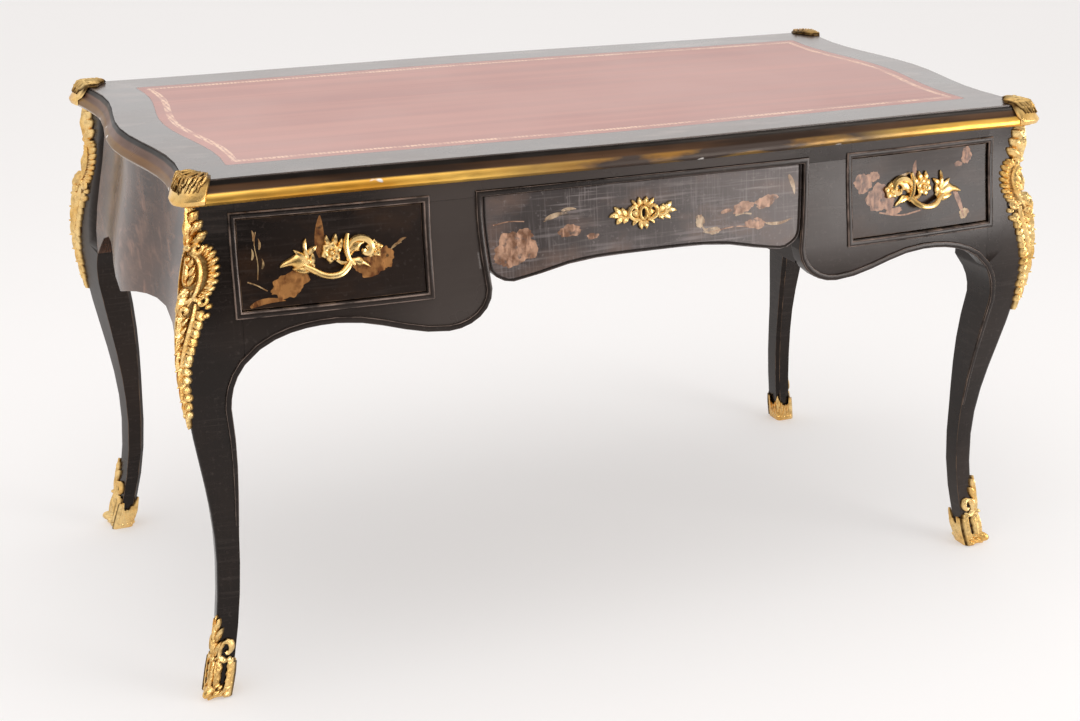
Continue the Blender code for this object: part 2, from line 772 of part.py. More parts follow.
def build_front_rail():
    xs = spread(-JOINT_X + GAP, JOINT_X - GAP, 20)
    grid = [[(x, z) for z in spread(RAIL_BOTTOM, FRIEZE_TOP, 1)] for x in xs]
    bm = front_board_mesh(grid, 0, RAIL_THICK)
    rail = add_object("front_top_rail", bm, LACQUER)
    y = bolt_y()
    half = BOLT_WIDTH / 2 + BOLT_CLEAR
    bm = box_mesh(
        (KEY_OFFSET - half, y - BOLT_CLEAR, RAIL_BOTTOM - BOLT_TRAVEL),
        (KEY_OFFSET + half, y + BOLT_THICK + BOLT_CLEAR, RAIL_BOTTOM + BOLT_TRAVEL),
    )
    cut(rail, bm, "bolt_mortise")


def build_beads():
    for name, sx in SIDES.items():
        inner, outer = sx * DIVIDER_OUT, sx * (JOINT_X - GAP)
        wide = spread(inner, outer, 6)
        high = spread(OPENING_BOTTOM, RAIL_BOTTOM, 5)
        path = [(x, OPENING_BOTTOM) for x in wide]
        path += [(outer, z) for z in high[1:]]
        path += [(x, RAIL_BOTTOM) for x in reversed(wide[:-1])]
        path += [(inner, z) for z in reversed(high[1:-1])]
        if sx > 0:
            path.reverse()
        rings = bead_rings(path, True, front_y, BEAD_HEIGHT, FACE_GAP)
        add_object(f"drawer_bead_{name}", loft_mesh(rings, closed=True), LACQUER)
    left = front_edge_path(-1)
    right = front_edge_path(1)
    across = [(x, RAIL_BOTTOM) for x in spread(left[-1][0], right[-1][0], 8)[1:-1]]
    path = left + across + list(reversed(right))
    rings = bead_rings(path, False, front_y, BEAD_HEIGHT, FACE_GAP)
    add_object("front_edge_bead", loft_mesh(rings), LACQUER)


def build_side_panels():
    ys = spread(-JOINT_Y + GAP, JOINT_Y - GAP, 14)
    for name, sx in SIDES.items():
        grid = [[(y, z) for z in spread(end_apron_edge(y), FRIEZE_TOP, 6)] for y in ys]
        bm = board_mesh(
            grid,
            lambda y, z: (sx * (frieze_end(y) + belly(z)), y, z),
            lambda y, z: (sx * (frieze_end(y) + belly(z) - PANEL_THICK), y, z),
        )
        add_object(f"side_panel_{name}", bm, LACQUER)


def build_back_panel():
    """One board between the back legs, with the outline of the front."""
    half = kneehole_edge(CENTRE_LOW_Z)
    lower = [(x, centre_edge(x, half)) for x in spread(0, half - CENTRE_CORNER, 3)]
    lower += [(half, CENTRE_LOW_Z)]
    lower += list(lobe_outline(4))
    lower += [(x, apron_edge(x)) for x in spread(LOBE_X, ARCH_X, 3)[1:]]
    lower += [(x, apron_edge(x)) for x in spread(ARCH_X, JOINT_X - GAP, 6)[1:]]
    upper = spread(0, JOINT_X - GAP, len(lower) - 1)
    right = []
    for (x, z), top_x in zip(lower, upper):
        right.append([(mix(x, top_x, k), mix(z, FRIEZE_TOP, k)) for k in spread(0, 1, 7)])
    grid = [[(-x, z) for x, z in column] for column in reversed(right[1:])] + right
    bm = board_mesh(
        grid,
        lambda x, z: (x, back_y(x, z, 0), z),
        lambda x, z: (x, back_y(x, z, RAIL_THICK), z),
    )
    add_object("back_panel", bm, LACQUER)


def back_seat(x, z):
    """Far end of a piece that runs to the back panel."""
    return back_y(x, z, RAIL_THICK + BACK_GAP)


def build_partitions():
    for name, sx in SIDES.items():
        zs = spread(PARTITION_BOTTOM, FRIEZE_TOP, 7)
        grid = [[(sx * x, z) for z in zs] for x in (PARTITION_X, PARTITION_X + PARTITION_THICK)]
        bm = deep_board_mesh(grid, RAIL_THICK + FACE_GAP, back_seat)
        add_object(f"kneehole_wall_{name}", bm, LACQUER)


# Drawers


def box_bottom(centre):
    """Lowest level of a drawer box."""
    if centre:
        return CENTRE_LOW_Z + CENTRE_RISE + BOX_DROP
    return OPENING_BOTTOM + RUN


def box_walls(centre, sx):
    """Outer faces of a drawer box across the table."""
    if centre:
        half = kneehole_edge(box_bottom(True)) - BOX_INSET
        return -half, half
    inner = DIVIDER_OUT + RUN + BOX_INSET
    outer = JOINT_X - RUN - BOX_INSET
    return (inner, outer) if sx > 0 else (-outer, -inner)


def build_runners(name, centre, sx):
    """Two rails from front to back that carry a drawer box, each with a guide beside it."""
    top = box_bottom(centre) - GAP
    walls = box_walls(centre, sx)
    for side, wall, turn in (("left", walls[0], -1), ("right", walls[1], 1)):
        guide = wall + turn * RUN
        if centre:
            outside = turn * (PARTITION_X - GAP)
        else:
            outside = wall + turn * (BOX_INSET + RUN - GAP)
        inside = wall - turn * RUNNER_SHELF
        zs = (top - RUNNER_HEIGHT, top, top + RUNNER_GUIDE)
        grid = [[(x, z) for z in zs] for x in (inside, guide, outside)]
        bm = deep_board_mesh(grid, RAIL_THICK + FACE_GAP, back_seat, lambda i, j: i == 1 or j == 0)
        add_object(f"{name}_runner_{side}", bm, OAK)


def side_front_grid(sx):
    left, right = (DIVIDER_OUT + RUN, JOINT_X - RUN)
    xs = spread(left, right, 6)
    zs = spread(OPENING_BOTTOM + RUN, RAIL_BOTTOM - RUN, 6)
    return [[(sx * x, z) for z in zs] for x in xs]


def centre_front_grid():
    half = kneehole_edge(CENTRE_LOW_Z + CENTRE_CORNER_RISE) - RUN
    low = half - CENTRE_CORNER
    right = spread(0, low, 5) + [low + CENTRE_CORNER * math.sin(math.radians(a)) for a in (25, 50, 70, 90)]
    xs = [-x for x in reversed(right[1:])] + right
    grid = []
    for x in xs:
        zs = spread(centre_edge(x, half), RAIL_BOTTOM - RUN, 6)
        grid.append([(x / half * (kneehole_edge(z) - RUN), z) for z in zs])
    return grid


def build_drawer(name, sx=0):
    """A shaped front, two grooved sides, a back and a bottom that slides into the grooves."""
    centre = sx == 0
    walls = box_walls(centre, sx)
    low = box_bottom(centre)
    high = RAIL_BOTTOM - RUN - BOX_DROP
    middle = (walls[0] + walls[1]) / 2
    seat = DRAWER_RECESS + FRONT_THICK + FACE_GAP
    far_y = -FRONT_MIDDLE + seat + DRAWER_LENGTH
    slide = add_slide(f"{name}_slide", (middle, -FRONT_MIDDLE, (low + high) / 2))
    grid = centre_front_grid() if centre else side_front_grid(sx)
    bm = front_board_mesh(grid, DRAWER_RECESS, FRONT_THICK)
    front = add_object(f"{name}_front", bm, LACQUER, slide)

    groove_low = low + BOTTOM_RAISE
    groove_high = groove_low + BOTTOM_THICK + 2 * GAP
    for side, wall, turn in (("left", walls[0], 1), ("right", walls[1], -1)):
        inner = wall + turn * SIDE_THICK
        deep = inner - turn * BOTTOM_GROOVE
        zs = [low] + spread(groove_low, groove_high, 1) + spread(groove_high, high, 4)[1:]
        grid = [[(x, z) for z in zs] for x in (wall, deep, inner)]
        bm = deep_board_mesh(grid, seat, far_y, lambda i, j: i == 0 or j != 1)
        add_object(f"{name}_side_{side}", bm, OAK, slide)

    inside = (walls[0] + SIDE_THICK + GAP, walls[1] - SIDE_THICK - GAP)
    bm = box_mesh((inside[0], far_y - SIDE_THICK, groove_high), (inside[1], far_y, high))
    add_object(f"{name}_back", bm, OAK, slide)
    xs = spread(inside[0] - BOTTOM_GROOVE + GAP, inside[1] + BOTTOM_GROOVE - GAP, 6)
    grid = [[(x, z) for z in (groove_low + GAP, groove_high - GAP)] for x in xs]
    bm = deep_board_mesh(grid, seat, far_y)
    add_object(f"{name}_bottom", bm, OAK, slide)
    build_runners(name, centre, sx)
    return slide, front


def smooth_path(points, steps):
    """Points of a smooth curve through the given ones, with this many steps between two of them."""
    ends = [[2 * a - b for a, b in zip(points[k], points[n])] for k, n in ((0, 1), (-1, -2))]
    knots = [ends[0], *points, ends[1]]
    path = []
    for a, b, c, d in zip(knots, knots[1:], knots[2:], knots[3:]):
        for k in range(steps):
            t = k / steps
            square = [2 * p - 5 * q + 4 * r - w for p, q, r, w in zip(a, b, c, d)]
            cube = [3 * q - p - 3 * r + w for p, q, r, w in zip(a, b, c, d)]
            path.append([
                (2 * q + (r - p) * t + e * t**2 + f * t**3) / 2
                for p, q, r, e, f in zip(a, b, c, square, cube)
            ])
    return path + [list(points[-1])]


# The cast pull from its leaf tail through the bowed grip to its scroll, in shares of the pull's
# length and height, then the stand-off and the half height and half thickness of the casting
PULL_CURVE = (
    (-0.50, -0.22, 0.0, 0.6, 0.5),
    (-0.38, -0.10, 0.1, 2.2, 0.8),
    (-0.24, -0.22, 0.6, 1.4, 1.0),
    (-0.03, -0.47, 1.0, 1.0, 1.0),
    (0.16, -0.20, 0.7, 1.3, 1.2),
    (0.15, 0.10, 0.2, 1.8, 1.1),
    (0.26, 0.34, 0.0, 1.7, 1.0),
    (0.37, 0.26, 0.0, 1.5, 1.0),
    (0.45, 0.06, 0.0, 1.8, 0.8),
    (0.50, 0.16, 0.0, 0.6, 0.5),
)


def build_pull(name, sx, slide):
    """A fixed cast pull: a leaf tail, a bowed grip and a scrolled leaf at the other end."""
    middle_x = sx * (DIVIDER_OUT + JOINT_X) / 2
    middle_z = (OPENING_BOTTOM + RAIL_BOTTOM) / 2
    sides = 7
    path = smooth_path(PULL_CURVE, 3)
    rings = []
    for k, (u, v, stand, tall, thick) in enumerate(path):
        before, after = path[max(k - 1, 0)], path[min(k + 1, len(path) - 1)]
        run = ((after[0] - before[0]) * PULL_LENGTH, (after[1] - before[1]) * PULL_HEIGHT)
        size = math.hypot(*run)
        across = (-run[1] / size, run[0] / size)
        centre = FACE_GAP + PULL_GRIP * thick + PULL_STAND * stand
        ring = []
        for side in range(sides):
            a = math.tau * side / sides
            x = middle_x - sx * (u * PULL_LENGTH + across[0] * PULL_GRIP * tall * math.cos(a))
            z = middle_z + v * PULL_HEIGHT + across[1] * PULL_GRIP * tall * math.cos(a)
            ring.append((x, front_y(x, z, DRAWER_RECESS - centre - PULL_GRIP * thick * math.sin(a)), z))
        rings.append(ring)
    add_object(f"{name}_pull", loft_mesh(rings), BRONZE_GILT, slide)


def lock_top():
    return RAIL_BOTTOM - RUN - GAP


def bolt_y():
    """Near face of the bolt, in the middle of the thickness of the lock's case."""
    return lock_y() + (LOCK_THICK - BOLT_THICK) / 2


def lock_y():
    return front_y(0, RAIL_BOTTOM, DRAWER_RECESS + FRONT_THICK - LOCK_DEPTH_IN_FRONT)


def keyhole_point(a):
    """Edge of the keyhole, an upright slot with round ends, at an angle from its middle."""
    r = KEYHOLE_WIDTH / 2
    straight = KEYHOLE_HEIGHT / 2 - r
    x = KEY_OFFSET + r * math.cos(a)
    return x, keyhole_z() + r * math.sin(a) + math.copysign(straight, math.sin(a))


def keyhole_z():
    return lock_top() - KEY_DROP


def build_lock(slide, front):
    """A lock let into the back of the middle drawer front, with a bolt that rises into the rail."""
    left, right = KEY_OFFSET - LOCK_WIDTH / 2, KEY_OFFSET + LOCK_WIDTH / 2
    y0, y1 = lock_y(), lock_y() + LOCK_THICK
    top = lock_top()
    bm = box_mesh(
        (left - GAP, y0 - GAP, top - LOCK_HEIGHT - GAP),
        (right + GAP, y1 + FRONT_THICK, top + LOCK_HEIGHT),
    )
    cut(front, bm, "lock_recess")
    hole = [keyhole_point(math.tau * (k + 0.5) / 12) for k in range(12)]
    bm = loft_mesh([[(x, y, z) for x, z in hole] for y in (y0 - FRONT_THICK, y0 + FRONT_THICK)])
    cut(front, bm, "keyhole")
    case = add_object(
        "lock_case", box_mesh((left, y0, top - LOCK_HEIGHT), (right, y1, top)), STEEL, slide
    )
    pocket = BOLT_WIDTH / 2 + BOLT_CLEAR
    y = bolt_y()
    bm = box_mesh(
        (KEY_OFFSET - pocket, y - BOLT_CLEAR, top - BOLT_LENGTH - BOLT_CLEAR),
        (KEY_OFFSET + pocket, y + BOLT_THICK + BOLT_CLEAR, top + BOLT_LENGTH),
    )
    cut(case, bm, "bolt_pocket")
    bm = box_mesh(
        (KEY_OFFSET - BOLT_WIDTH / 2, y, top - BOLT_LENGTH),
        (KEY_OFFSET + BOLT_WIDTH / 2, y + BOLT_THICK, top),
    )
    bolt_slide = add_slide("lock_bolt_slide", (KEY_OFFSET, y + BOLT_THICK / 2, top))
    add_object("lock_bolt", bm, STEEL, bolt_slide)


def build_escutcheon(slide):
    """A leafy plate round the keyhole: a lobed body with a spray to each side."""
    shares = (0.0, 0.45, 0.85, 1.0)
    lifts = (BRONZE, BRONZE * 2, BRONZE * 1.4, BRONZE * 0.8)
    angles = [math.tau * (k + 0.5) / 24 for k in range(24)]

    def point(a, share, lift):
        spray = math.exp(-((math.sin(a) / ESCUTCHEON_SPRAY) ** 2))
        lobed = 1 - ESCUTCHEON_LOBE + ESCUTCHEON_LOBE * math.cos(ESCUTCHEON_LOBES * a)
        wide = mix(ESCUTCHEON_BODY / 2 * lobed, ESCUTCHEON_WIDTH / 2, spray)
        tall = ESCUTCHEON_HEIGHT / 2 * lobed
        rim = (KEY_OFFSET + wide * math.cos(a), keyhole_z() + tall * math.sin(a))
        hole = keyhole_point(a)
        x, z = mix(hole[0], rim[0], share), mix(hole[1], rim[1], share)
        return x, front_y(x, z, DRAWER_RECESS - FACE_GAP - lift), z

    rings = [[point(a, s, h) for a in angles] for s, h in zip(shares, lifts)]
    rings += [[point(a, s, 0) for a in angles] for s in reversed(shares)]
    add_object("escutcheon", loft_mesh(rings, closed=True), BRONZE_GILT, slide)


build_top()
build_edge_mouldings()
build_corner_mounts()
build_legs()
build_front_rail()
build_front_blocks()
build_beads()
build_side_panels()
build_back_panel()
build_partitions()
for side_name, side_sign in SIDES.items():
    drawer_slide, _ = build_drawer(f"drawer_{side_name}", side_sign)
    build_pull(f"drawer_{side_name}", side_sign, drawer_slide)
centre_slide, centre_front = build_drawer("drawer_centre")
build_lock(centre_slide, centre_front)
build_escutcheon(centre_slide)
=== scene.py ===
# %% [markdown]
# # A serpentine writing table in worn black lacquer
# The table is a French-style desk: a leather-lined top, three drawers round a kneehole, four
# cabriole legs and gilt-bronze mounts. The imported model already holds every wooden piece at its
# true size, so this lesson starts from it and adds finishes, softened edges and cast ornament.

# %% Load the frame
import json
import math

import bmesh
import bpy
from mathutils import Matrix, Vector
from mathutils.bvhtree import BVHTree

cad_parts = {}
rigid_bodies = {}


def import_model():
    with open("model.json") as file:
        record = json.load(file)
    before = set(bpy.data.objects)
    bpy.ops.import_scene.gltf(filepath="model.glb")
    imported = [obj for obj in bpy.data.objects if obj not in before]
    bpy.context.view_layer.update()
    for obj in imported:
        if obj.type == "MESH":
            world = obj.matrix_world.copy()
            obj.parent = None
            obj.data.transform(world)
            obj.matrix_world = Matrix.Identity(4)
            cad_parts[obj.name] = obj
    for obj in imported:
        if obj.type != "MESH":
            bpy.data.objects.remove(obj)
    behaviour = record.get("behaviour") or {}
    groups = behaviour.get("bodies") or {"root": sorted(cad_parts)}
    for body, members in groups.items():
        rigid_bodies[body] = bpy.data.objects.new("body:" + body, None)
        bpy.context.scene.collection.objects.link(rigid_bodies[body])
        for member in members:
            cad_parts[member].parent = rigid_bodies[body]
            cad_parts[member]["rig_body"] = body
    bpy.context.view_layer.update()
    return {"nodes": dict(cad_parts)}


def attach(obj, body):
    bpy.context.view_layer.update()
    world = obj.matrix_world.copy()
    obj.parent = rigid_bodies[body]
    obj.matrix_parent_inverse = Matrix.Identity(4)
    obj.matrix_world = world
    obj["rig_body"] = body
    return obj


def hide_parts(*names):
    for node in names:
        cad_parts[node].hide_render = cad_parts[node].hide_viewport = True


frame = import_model()
nodes = frame["nodes"]

# %% [markdown]
# ## Camera
# The table is seen from its front left, from a little above the top, with a long lens. A camera
# could be aimed with a constraint, but writing its three axes down keeps the small roll of the
# picture, and nothing has to be evaluated before the render.

# %% Camera
CAMERA_PLACE = Vector((-1.2564, -2.6942, 1.4118))
AZIMUTH, ELEVATION, ROLL = -0.43225, 0.35295, 0.01785
LENS_MM = 63.155
SENSOR_MM = 36.0

back = Vector((
    math.sin(AZIMUTH) * math.cos(ELEVATION),
    -math.cos(AZIMUTH) * math.cos(ELEVATION),
    math.sin(ELEVATION),
))
level = Vector((math.cos(AZIMUTH), math.sin(AZIMUTH), 0))
upright = back.cross(level)
right = math.cos(ROLL) * level + math.sin(ROLL) * upright
up = math.cos(ROLL) * upright - math.sin(ROLL) * level
camera = bpy.data.objects.new("camera", bpy.data.cameras.new("camera"))
camera.data.sensor_width = SENSOR_MM
camera.data.lens = LENS_MM
camera.matrix_world = Matrix.Translation(CAMERA_PLACE) @ Matrix((right, up, back)).transposed().to_4x4()
bpy.context.scene.collection.objects.link(camera)
bpy.context.scene.camera = camera
bpy.context.scene.view_settings.view_transform = "Standard"
print("camera", [round(c, 3) for c in camera.location])

# %% [markdown]
# ## Nodes by name
# Every finish below is a node tree. One small helper places a node, sets its options, and sets or
# links its inputs. The others name what is laid over what, so that each finish reads as a list of
# its layers, from the ground up.


# %% Placing nodes
def place(tree, kind, inputs=None, **options):
    item = tree.nodes.new(kind)
    for key, value in options.items():
        setattr(item, key, value)
    for key, value in (inputs or {}).items():
        if isinstance(value, bpy.types.NodeSocket):
            tree.links.new(value, item.inputs[key])
        else:
            item.inputs[key].default_value = value
    return item


def rgb(red, green, blue):
    return red, green, blue, 1.0


def sums(tree, operation, first, second):
    return place(tree, "ShaderNodeMath", {0: first, 1: second}, operation=operation).outputs[0]


def times(tree, first, *others):
    for other in others:
        first = sums(tree, "MULTIPLY", first, other)
    return first


def remap(tree, value, low, high, to_low=0.0, to_high=1.0):
    made = place(tree, "ShaderNodeMapRange", {
        "Value": value, "From Min": low, "From Max": high, "To Min": to_low, "To Max": to_high,
    })
    return made.outputs["Result"]


def blend(tree, mask, under, over, share=1.0):
    """Lays a colour over another one, or over the layers so far, by a share of a mask."""
    mask = mask if share == 1.0 else times(tree, mask, share)
    under, over = [c if isinstance(c, bpy.types.NodeSocket) else rgb(*c) for c in (under, over)]
    return place(tree, "ShaderNodeMix", {0: mask, 6: under, 7: over}, data_type="RGBA").outputs[2]


def object_place(tree):
    return place(tree, "ShaderNodeTexCoord").outputs["Object"]


def object_axis(tree, axis):
    return place(tree, "ShaderNodeSeparateXYZ", {"Vector": object_place(tree)}).outputs[axis]


def attribute(tree, name):
    return place(tree, "ShaderNodeAttribute", attribute_name=name).outputs["Fac"]


def new_finish(name):
    material = bpy.data.materials.new(name)
    material.use_nodes = True
    tree = material.node_tree
    return material, tree, tree.nodes["Principled BSDF"]


def feed(tree, shader, **sources):
    """Links a source to each shader input, named with underscores for spaces."""
    for key, source in sources.items():
        tree.links.new(source, shader.inputs[key.replace("_", " ")])


def set_constants(shader, **values):
    for key, value in values.items():
        shader.inputs[key.replace("_", " ")].default_value = value


print("helpers ready")

# %% [markdown]
# ## Floor and light
# The table stands on a pale paper sweep that is bright behind and beside it, and darker behind the
# camera, with a large lamp above and one to the front right. A gradient in the world stands for
# the sweep, because the lacquer shows mostly what it reflects, and two area lamps do the rest.
# The paper glows a little for the camera and in reflections only, so that it lights nothing.

# %% Floor
FLOOR_RADIUS = 16.0
PAPER = (0.62, 0.607, 0.60)
PAPER_GLOW, PAPER_LIFT = (1.0, 0.975, 0.965), 0.36


def link_mesh(name, bm):
    mesh = bpy.data.meshes.new(name)
    bm.to_mesh(mesh)
    bm.free()
    item = bpy.data.objects.new(name, mesh)
    bpy.context.scene.collection.objects.link(item)
    return item


bm = bmesh.new()
bmesh.ops.create_circle(bm, cap_ends=True, segments=96, radius=FLOOR_RADIUS)
floor = link_mesh("floor", bm)
paper, tree, shader = new_finish("pale_paper")
set_constants(shader, Base_Color=rgb(*PAPER), Roughness=0.9, Specular_IOR_Level=0.1)
set_constants(shader, Emission_Color=rgb(*PAPER_GLOW))
seen = place(tree, "ShaderNodeLightPath").outputs
shown = sums(tree, "MAXIMUM", seen["Is Camera Ray"], seen["Is Glossy Ray"])
shown = sums(tree, "MAXIMUM", shown, seen["Is Transmission Ray"])
feed(tree, shader, Emission_Strength=times(tree, shown, PAPER_LIFT))
floor.data.materials.append(paper)
print("floor", FLOOR_RADIUS)

# %% Lamps and sweep
DARK_ROOM, BRIGHT_SWEEP = 0.05, 1.05
ZENITH_SHARE = 0.7
ROOM_SIDE, ROOM_EDGE = (0.10, -0.99, 0.0), (0.68, 0.94)

world = bpy.data.worlds.new("paper_sweep")
bpy.context.scene.world = world
world.use_nodes = True
sky = world.node_tree
direction = place(sky, "ShaderNodeTexCoord").outputs["Generated"]
facing = place(sky, "ShaderNodeVectorMath", {0: direction, 1: ROOM_SIDE}, operation="DOT_PRODUCT")
lit = remap(sky, facing.outputs["Value"], *ROOM_EDGE, BRIGHT_SWEEP, DARK_ROOM)
height = place(sky, "ShaderNodeSeparateXYZ", {"Vector": direction}).outputs["Z"]
lit = times(sky, lit, remap(sky, height, 0.15, 0.9, 1.0, ZENITH_SHARE))
sky.nodes["Background"].inputs["Color"].default_value = rgb(1.0, 0.985, 0.975)
sky.links.new(lit, sky.nodes["Background"].inputs["Strength"])


def hang_lamp(name, at, target, wide, tall, radiance):
    data = bpy.data.lights.new(name, "AREA")
    data.shape = "RECTANGLE"
    data.size = wide
    data.size_y = tall
    data.energy = radiance * math.pi * wide * tall
    lamp = bpy.data.objects.new(name, data)
    aim = (Vector(target) - Vector(at)).to_track_quat("-Z", "Y")
    lamp.matrix_world = Matrix.Translation(at) @ aim.to_matrix().to_4x4()
    bpy.context.scene.collection.objects.link(lamp)


hang_lamp("overhead_lamp", (-0.5, -0.4, 3.0), (0, 0, 0.5), 2.6, 2.6, 1.3)
hang_lamp("front_right_lamp", (2.6, -3.1, 0.85), (0.1, -0.3, 0.6), 1.9, 1.2, 8.6)
print("lamps hung")

# %% [markdown]
# ## The table's own curves
# The mounts are bent over the legs and the drawer fronts, so the curves of the carcase are needed
# again here: a belly that swells downwards to the knee and draws in at the ankle, and a plan whose
# front bows and whose ends are serpentine.

# %% Curves
TABLE_HEIGHT = 0.770
TOP_LENGTH = 1.354
TOP_DEPTH = 0.663
TOP_THICK = 0.034
END_WAVE, END_HOLLOW = 0.012, 0.205
FRONT_WAVE, FRONT_HOLLOW = 0.0055, 0.560
FRONT_FALL = 0.019
BELLY = 0.025
ANKLE_HEIGHT, ANKLE_IN, FOOT_OUT = 0.200, 0.012, 0.023
UNDER_TOP = TABLE_HEIGHT - TOP_THICK
KNEE_Z = 0.525
END_OVERHANG, FRONT_OVERHANG = 0.0105, 0.002
HALF_LENGTH = TOP_LENGTH / 2 - END_OVERHANG
FRONT_MIDDLE = TOP_DEPTH / 2 + FRONT_WAVE - FRONT_OVERHANG
DRAWER_RECESS = 0.002
KEYHOLE_X, KEYHOLE_Z = -0.010, 0.6645
SIDE_DRAWER_X, SIDE_DRAWER_Z = 0.481, 0.64875
MM = 0.001


def ease(t):
    return (1 - math.cos(math.pi * min(max(t, 0.0), 1.0))) / 2


def mix(a, b, t):
    return a + (b - a) * t


def belly(z):
    if z >= KNEE_Z:
        return BELLY * ease((UNDER_TOP - z) / (UNDER_TOP - KNEE_Z))
    if z >= ANKLE_HEIGHT:
        return BELLY - (BELLY + ANKLE_IN) * ease((KNEE_Z - z) / (KNEE_Z - ANKLE_HEIGHT))
    return FOOT_OUT * (1 - z / ANKLE_HEIGHT) ** 2 - ANKLE_IN


def top_front(x):
    return TOP_DEPTH / 2 + FRONT_WAVE * math.cos(math.pi * x / FRONT_HOLLOW)


def top_end(y):
    return TOP_LENGTH / 2 + END_WAVE * math.cos(math.pi * y / END_HOLLOW)


def frieze_front(x):
    return FRONT_MIDDLE - FRONT_FALL * abs(x / HALF_LENGTH) ** 3


def frieze_end(y):
    return HALF_LENGTH + END_WAVE * math.cos(math.pi * y / END_HOLLOW)


def corner(plan, out):
    front, end = plan
    x, y = HALF_LENGTH, FRONT_MIDDLE
    for _ in range(12):
        y = front(x) + out
        x = end(y) + out
    return x, y


def round_corner(plan, out, radius, along):
    """A point near a rounded corner of a plan: along is minus on the front, plus on the end."""
    front, end = plan
    cx, cy = corner(plan, out)
    if along <= -radius:
        return cx + along, front(cx + along) + out
    if along >= radius:
        return end(cy - along) + out, cy - along
    t = (along / radius + 1) / 2
    ax, by = cx - radius, cy - radius
    ay, bx = front(ax) + out, end(by) + out
    return (
        (1 - t) ** 2 * ax + 2 * t * (1 - t) * cx + t * t * bx,
        (1 - t) ** 2 * ay + 2 * t * (1 - t) * cy + t * t * by,
    )


TOP_PLAN = (top_front, top_end)
FRIEZE_PLAN = (frieze_front, frieze_end)
QUARTERS = {"front_left": (-1, -1), "front_right": (1, -1), "back_left": (-1, 1), "back_right": (1, 1)}
print("leg corner at the knee", [round(c, 4) for c in corner(FRIEZE_PLAN, belly(KNEE_Z))])

# %% [markdown]
# ## Effects that several finishes share
# Old lacquer, gilding and leather are all cloudy, streaked and rubbed along their edges. Each of
# these effects is a node group with its own inputs, built once and placed with other values in
# every finish. The groups read Object coordinates, so that a pattern stays where it is on a piece.


# %% Cloud and streak groups
def new_group(name, **inputs):
    """A node group with the given inputs, and one mask as its output."""
    group = bpy.data.node_groups.new(name, "ShaderNodeTree")
    for label, value in inputs.items():
        kind = "NodeSocketFloat" if isinstance(value, float) else "NodeSocketVector"
        group.interface.new_socket(label, in_out="INPUT", socket_type=kind).default_value = value
    group.interface.new_socket("Mask", in_out="OUTPUT", socket_type="NodeSocketFloat")
    return group, place(group, "NodeGroupInput").outputs, place(group, "NodeGroupOutput").inputs["Mask"]


def build_clouds():
    group, given, mask = new_group("clouds", Stretch=(1, 1, 1), Scale=5.0, Detail=5.0, From=0.4, To=0.6)
    where = object_place(group)
    drawn = place(group, "ShaderNodeMapping", {"Vector": where, "Scale": given["Stretch"]})
    grey = place(group, "ShaderNodeTexNoise", {
        "Vector": drawn.outputs[0], "Scale": given["Scale"], "Detail": given["Detail"],
    })
    group.links.new(remap(group, grey.outputs[0], given["From"], given["To"]), mask)
    return group


def build_rubbed_edges():
    group, given, mask = new_group("rubbed_edges", Scale=40.0, Kept=0.45)
    patch = place(group, "ShaderNodeTexNoise", {
        "Vector": object_place(group), "Scale": given["Scale"], "Detail": 4.0,
    })
    rubbed = remap(group, patch.outputs[0], given["Kept"], 0.62)
    group.links.new(times(group, attribute(group, "worn"), rubbed), mask)
    return group


CLOUDS = build_clouds()
RUBBED = build_rubbed_edges()


def clouds(tree, scale, low, high, detail=5.0, stretch=(1, 1, 1)):
    values = {"Stretch": stretch, "Scale": scale, "Detail": detail, "From": low, "To": high}
    return place(tree, "ShaderNodeGroup", values, node_tree=CLOUDS).outputs["Mask"]


def rubbed_edges(tree, scale, kept):
    values = {"Scale": scale, "Kept": kept}
    return place(tree, "ShaderNodeGroup", values, node_tree=RUBBED).outputs["Mask"]


def raise_bump(tree, shader, height, strength, distance=0.001):
    bump = place(tree, "ShaderNodeBump", {"Strength": strength, "Distance": distance, "Height": height})
    feed(tree, shader, Normal=bump.outputs[0])


print("groups", [g.name for g in bpy.data.node_groups])

# %% [markdown]
# ## Lacquer
# The carcase is black lacquer that has greyed with age: hazy in clouds, stained, scratched along
# the length, crackled in fine upright lines, and rubbed to brown on its edges. The front has a
# paler stretch in its middle. One function lays these down for every variant, so the top can be
# greyer than the legs, and the painting on the drawers can use the same ground, so that where the
# gold has gone the lacquer simply goes on.

# %% Lacquer
SCRATCHED, CRACKLED = (1.1, 3.0, 21.0), (30.0, 3.0, 1.4)
LACQUER_IOR, DULL_IOR = 1.36, 1.31
WARM_GLOSS = rgb(1.0, 0.90, 0.855)
# The grey is for the beads, where it is wear and also a painted highlight along their edges.
RUBBED_BROWN, RUBBED_GREY_HIGHLIGHT = (0.17, 0.105, 0.065), (0.27, 0.195, 0.16)


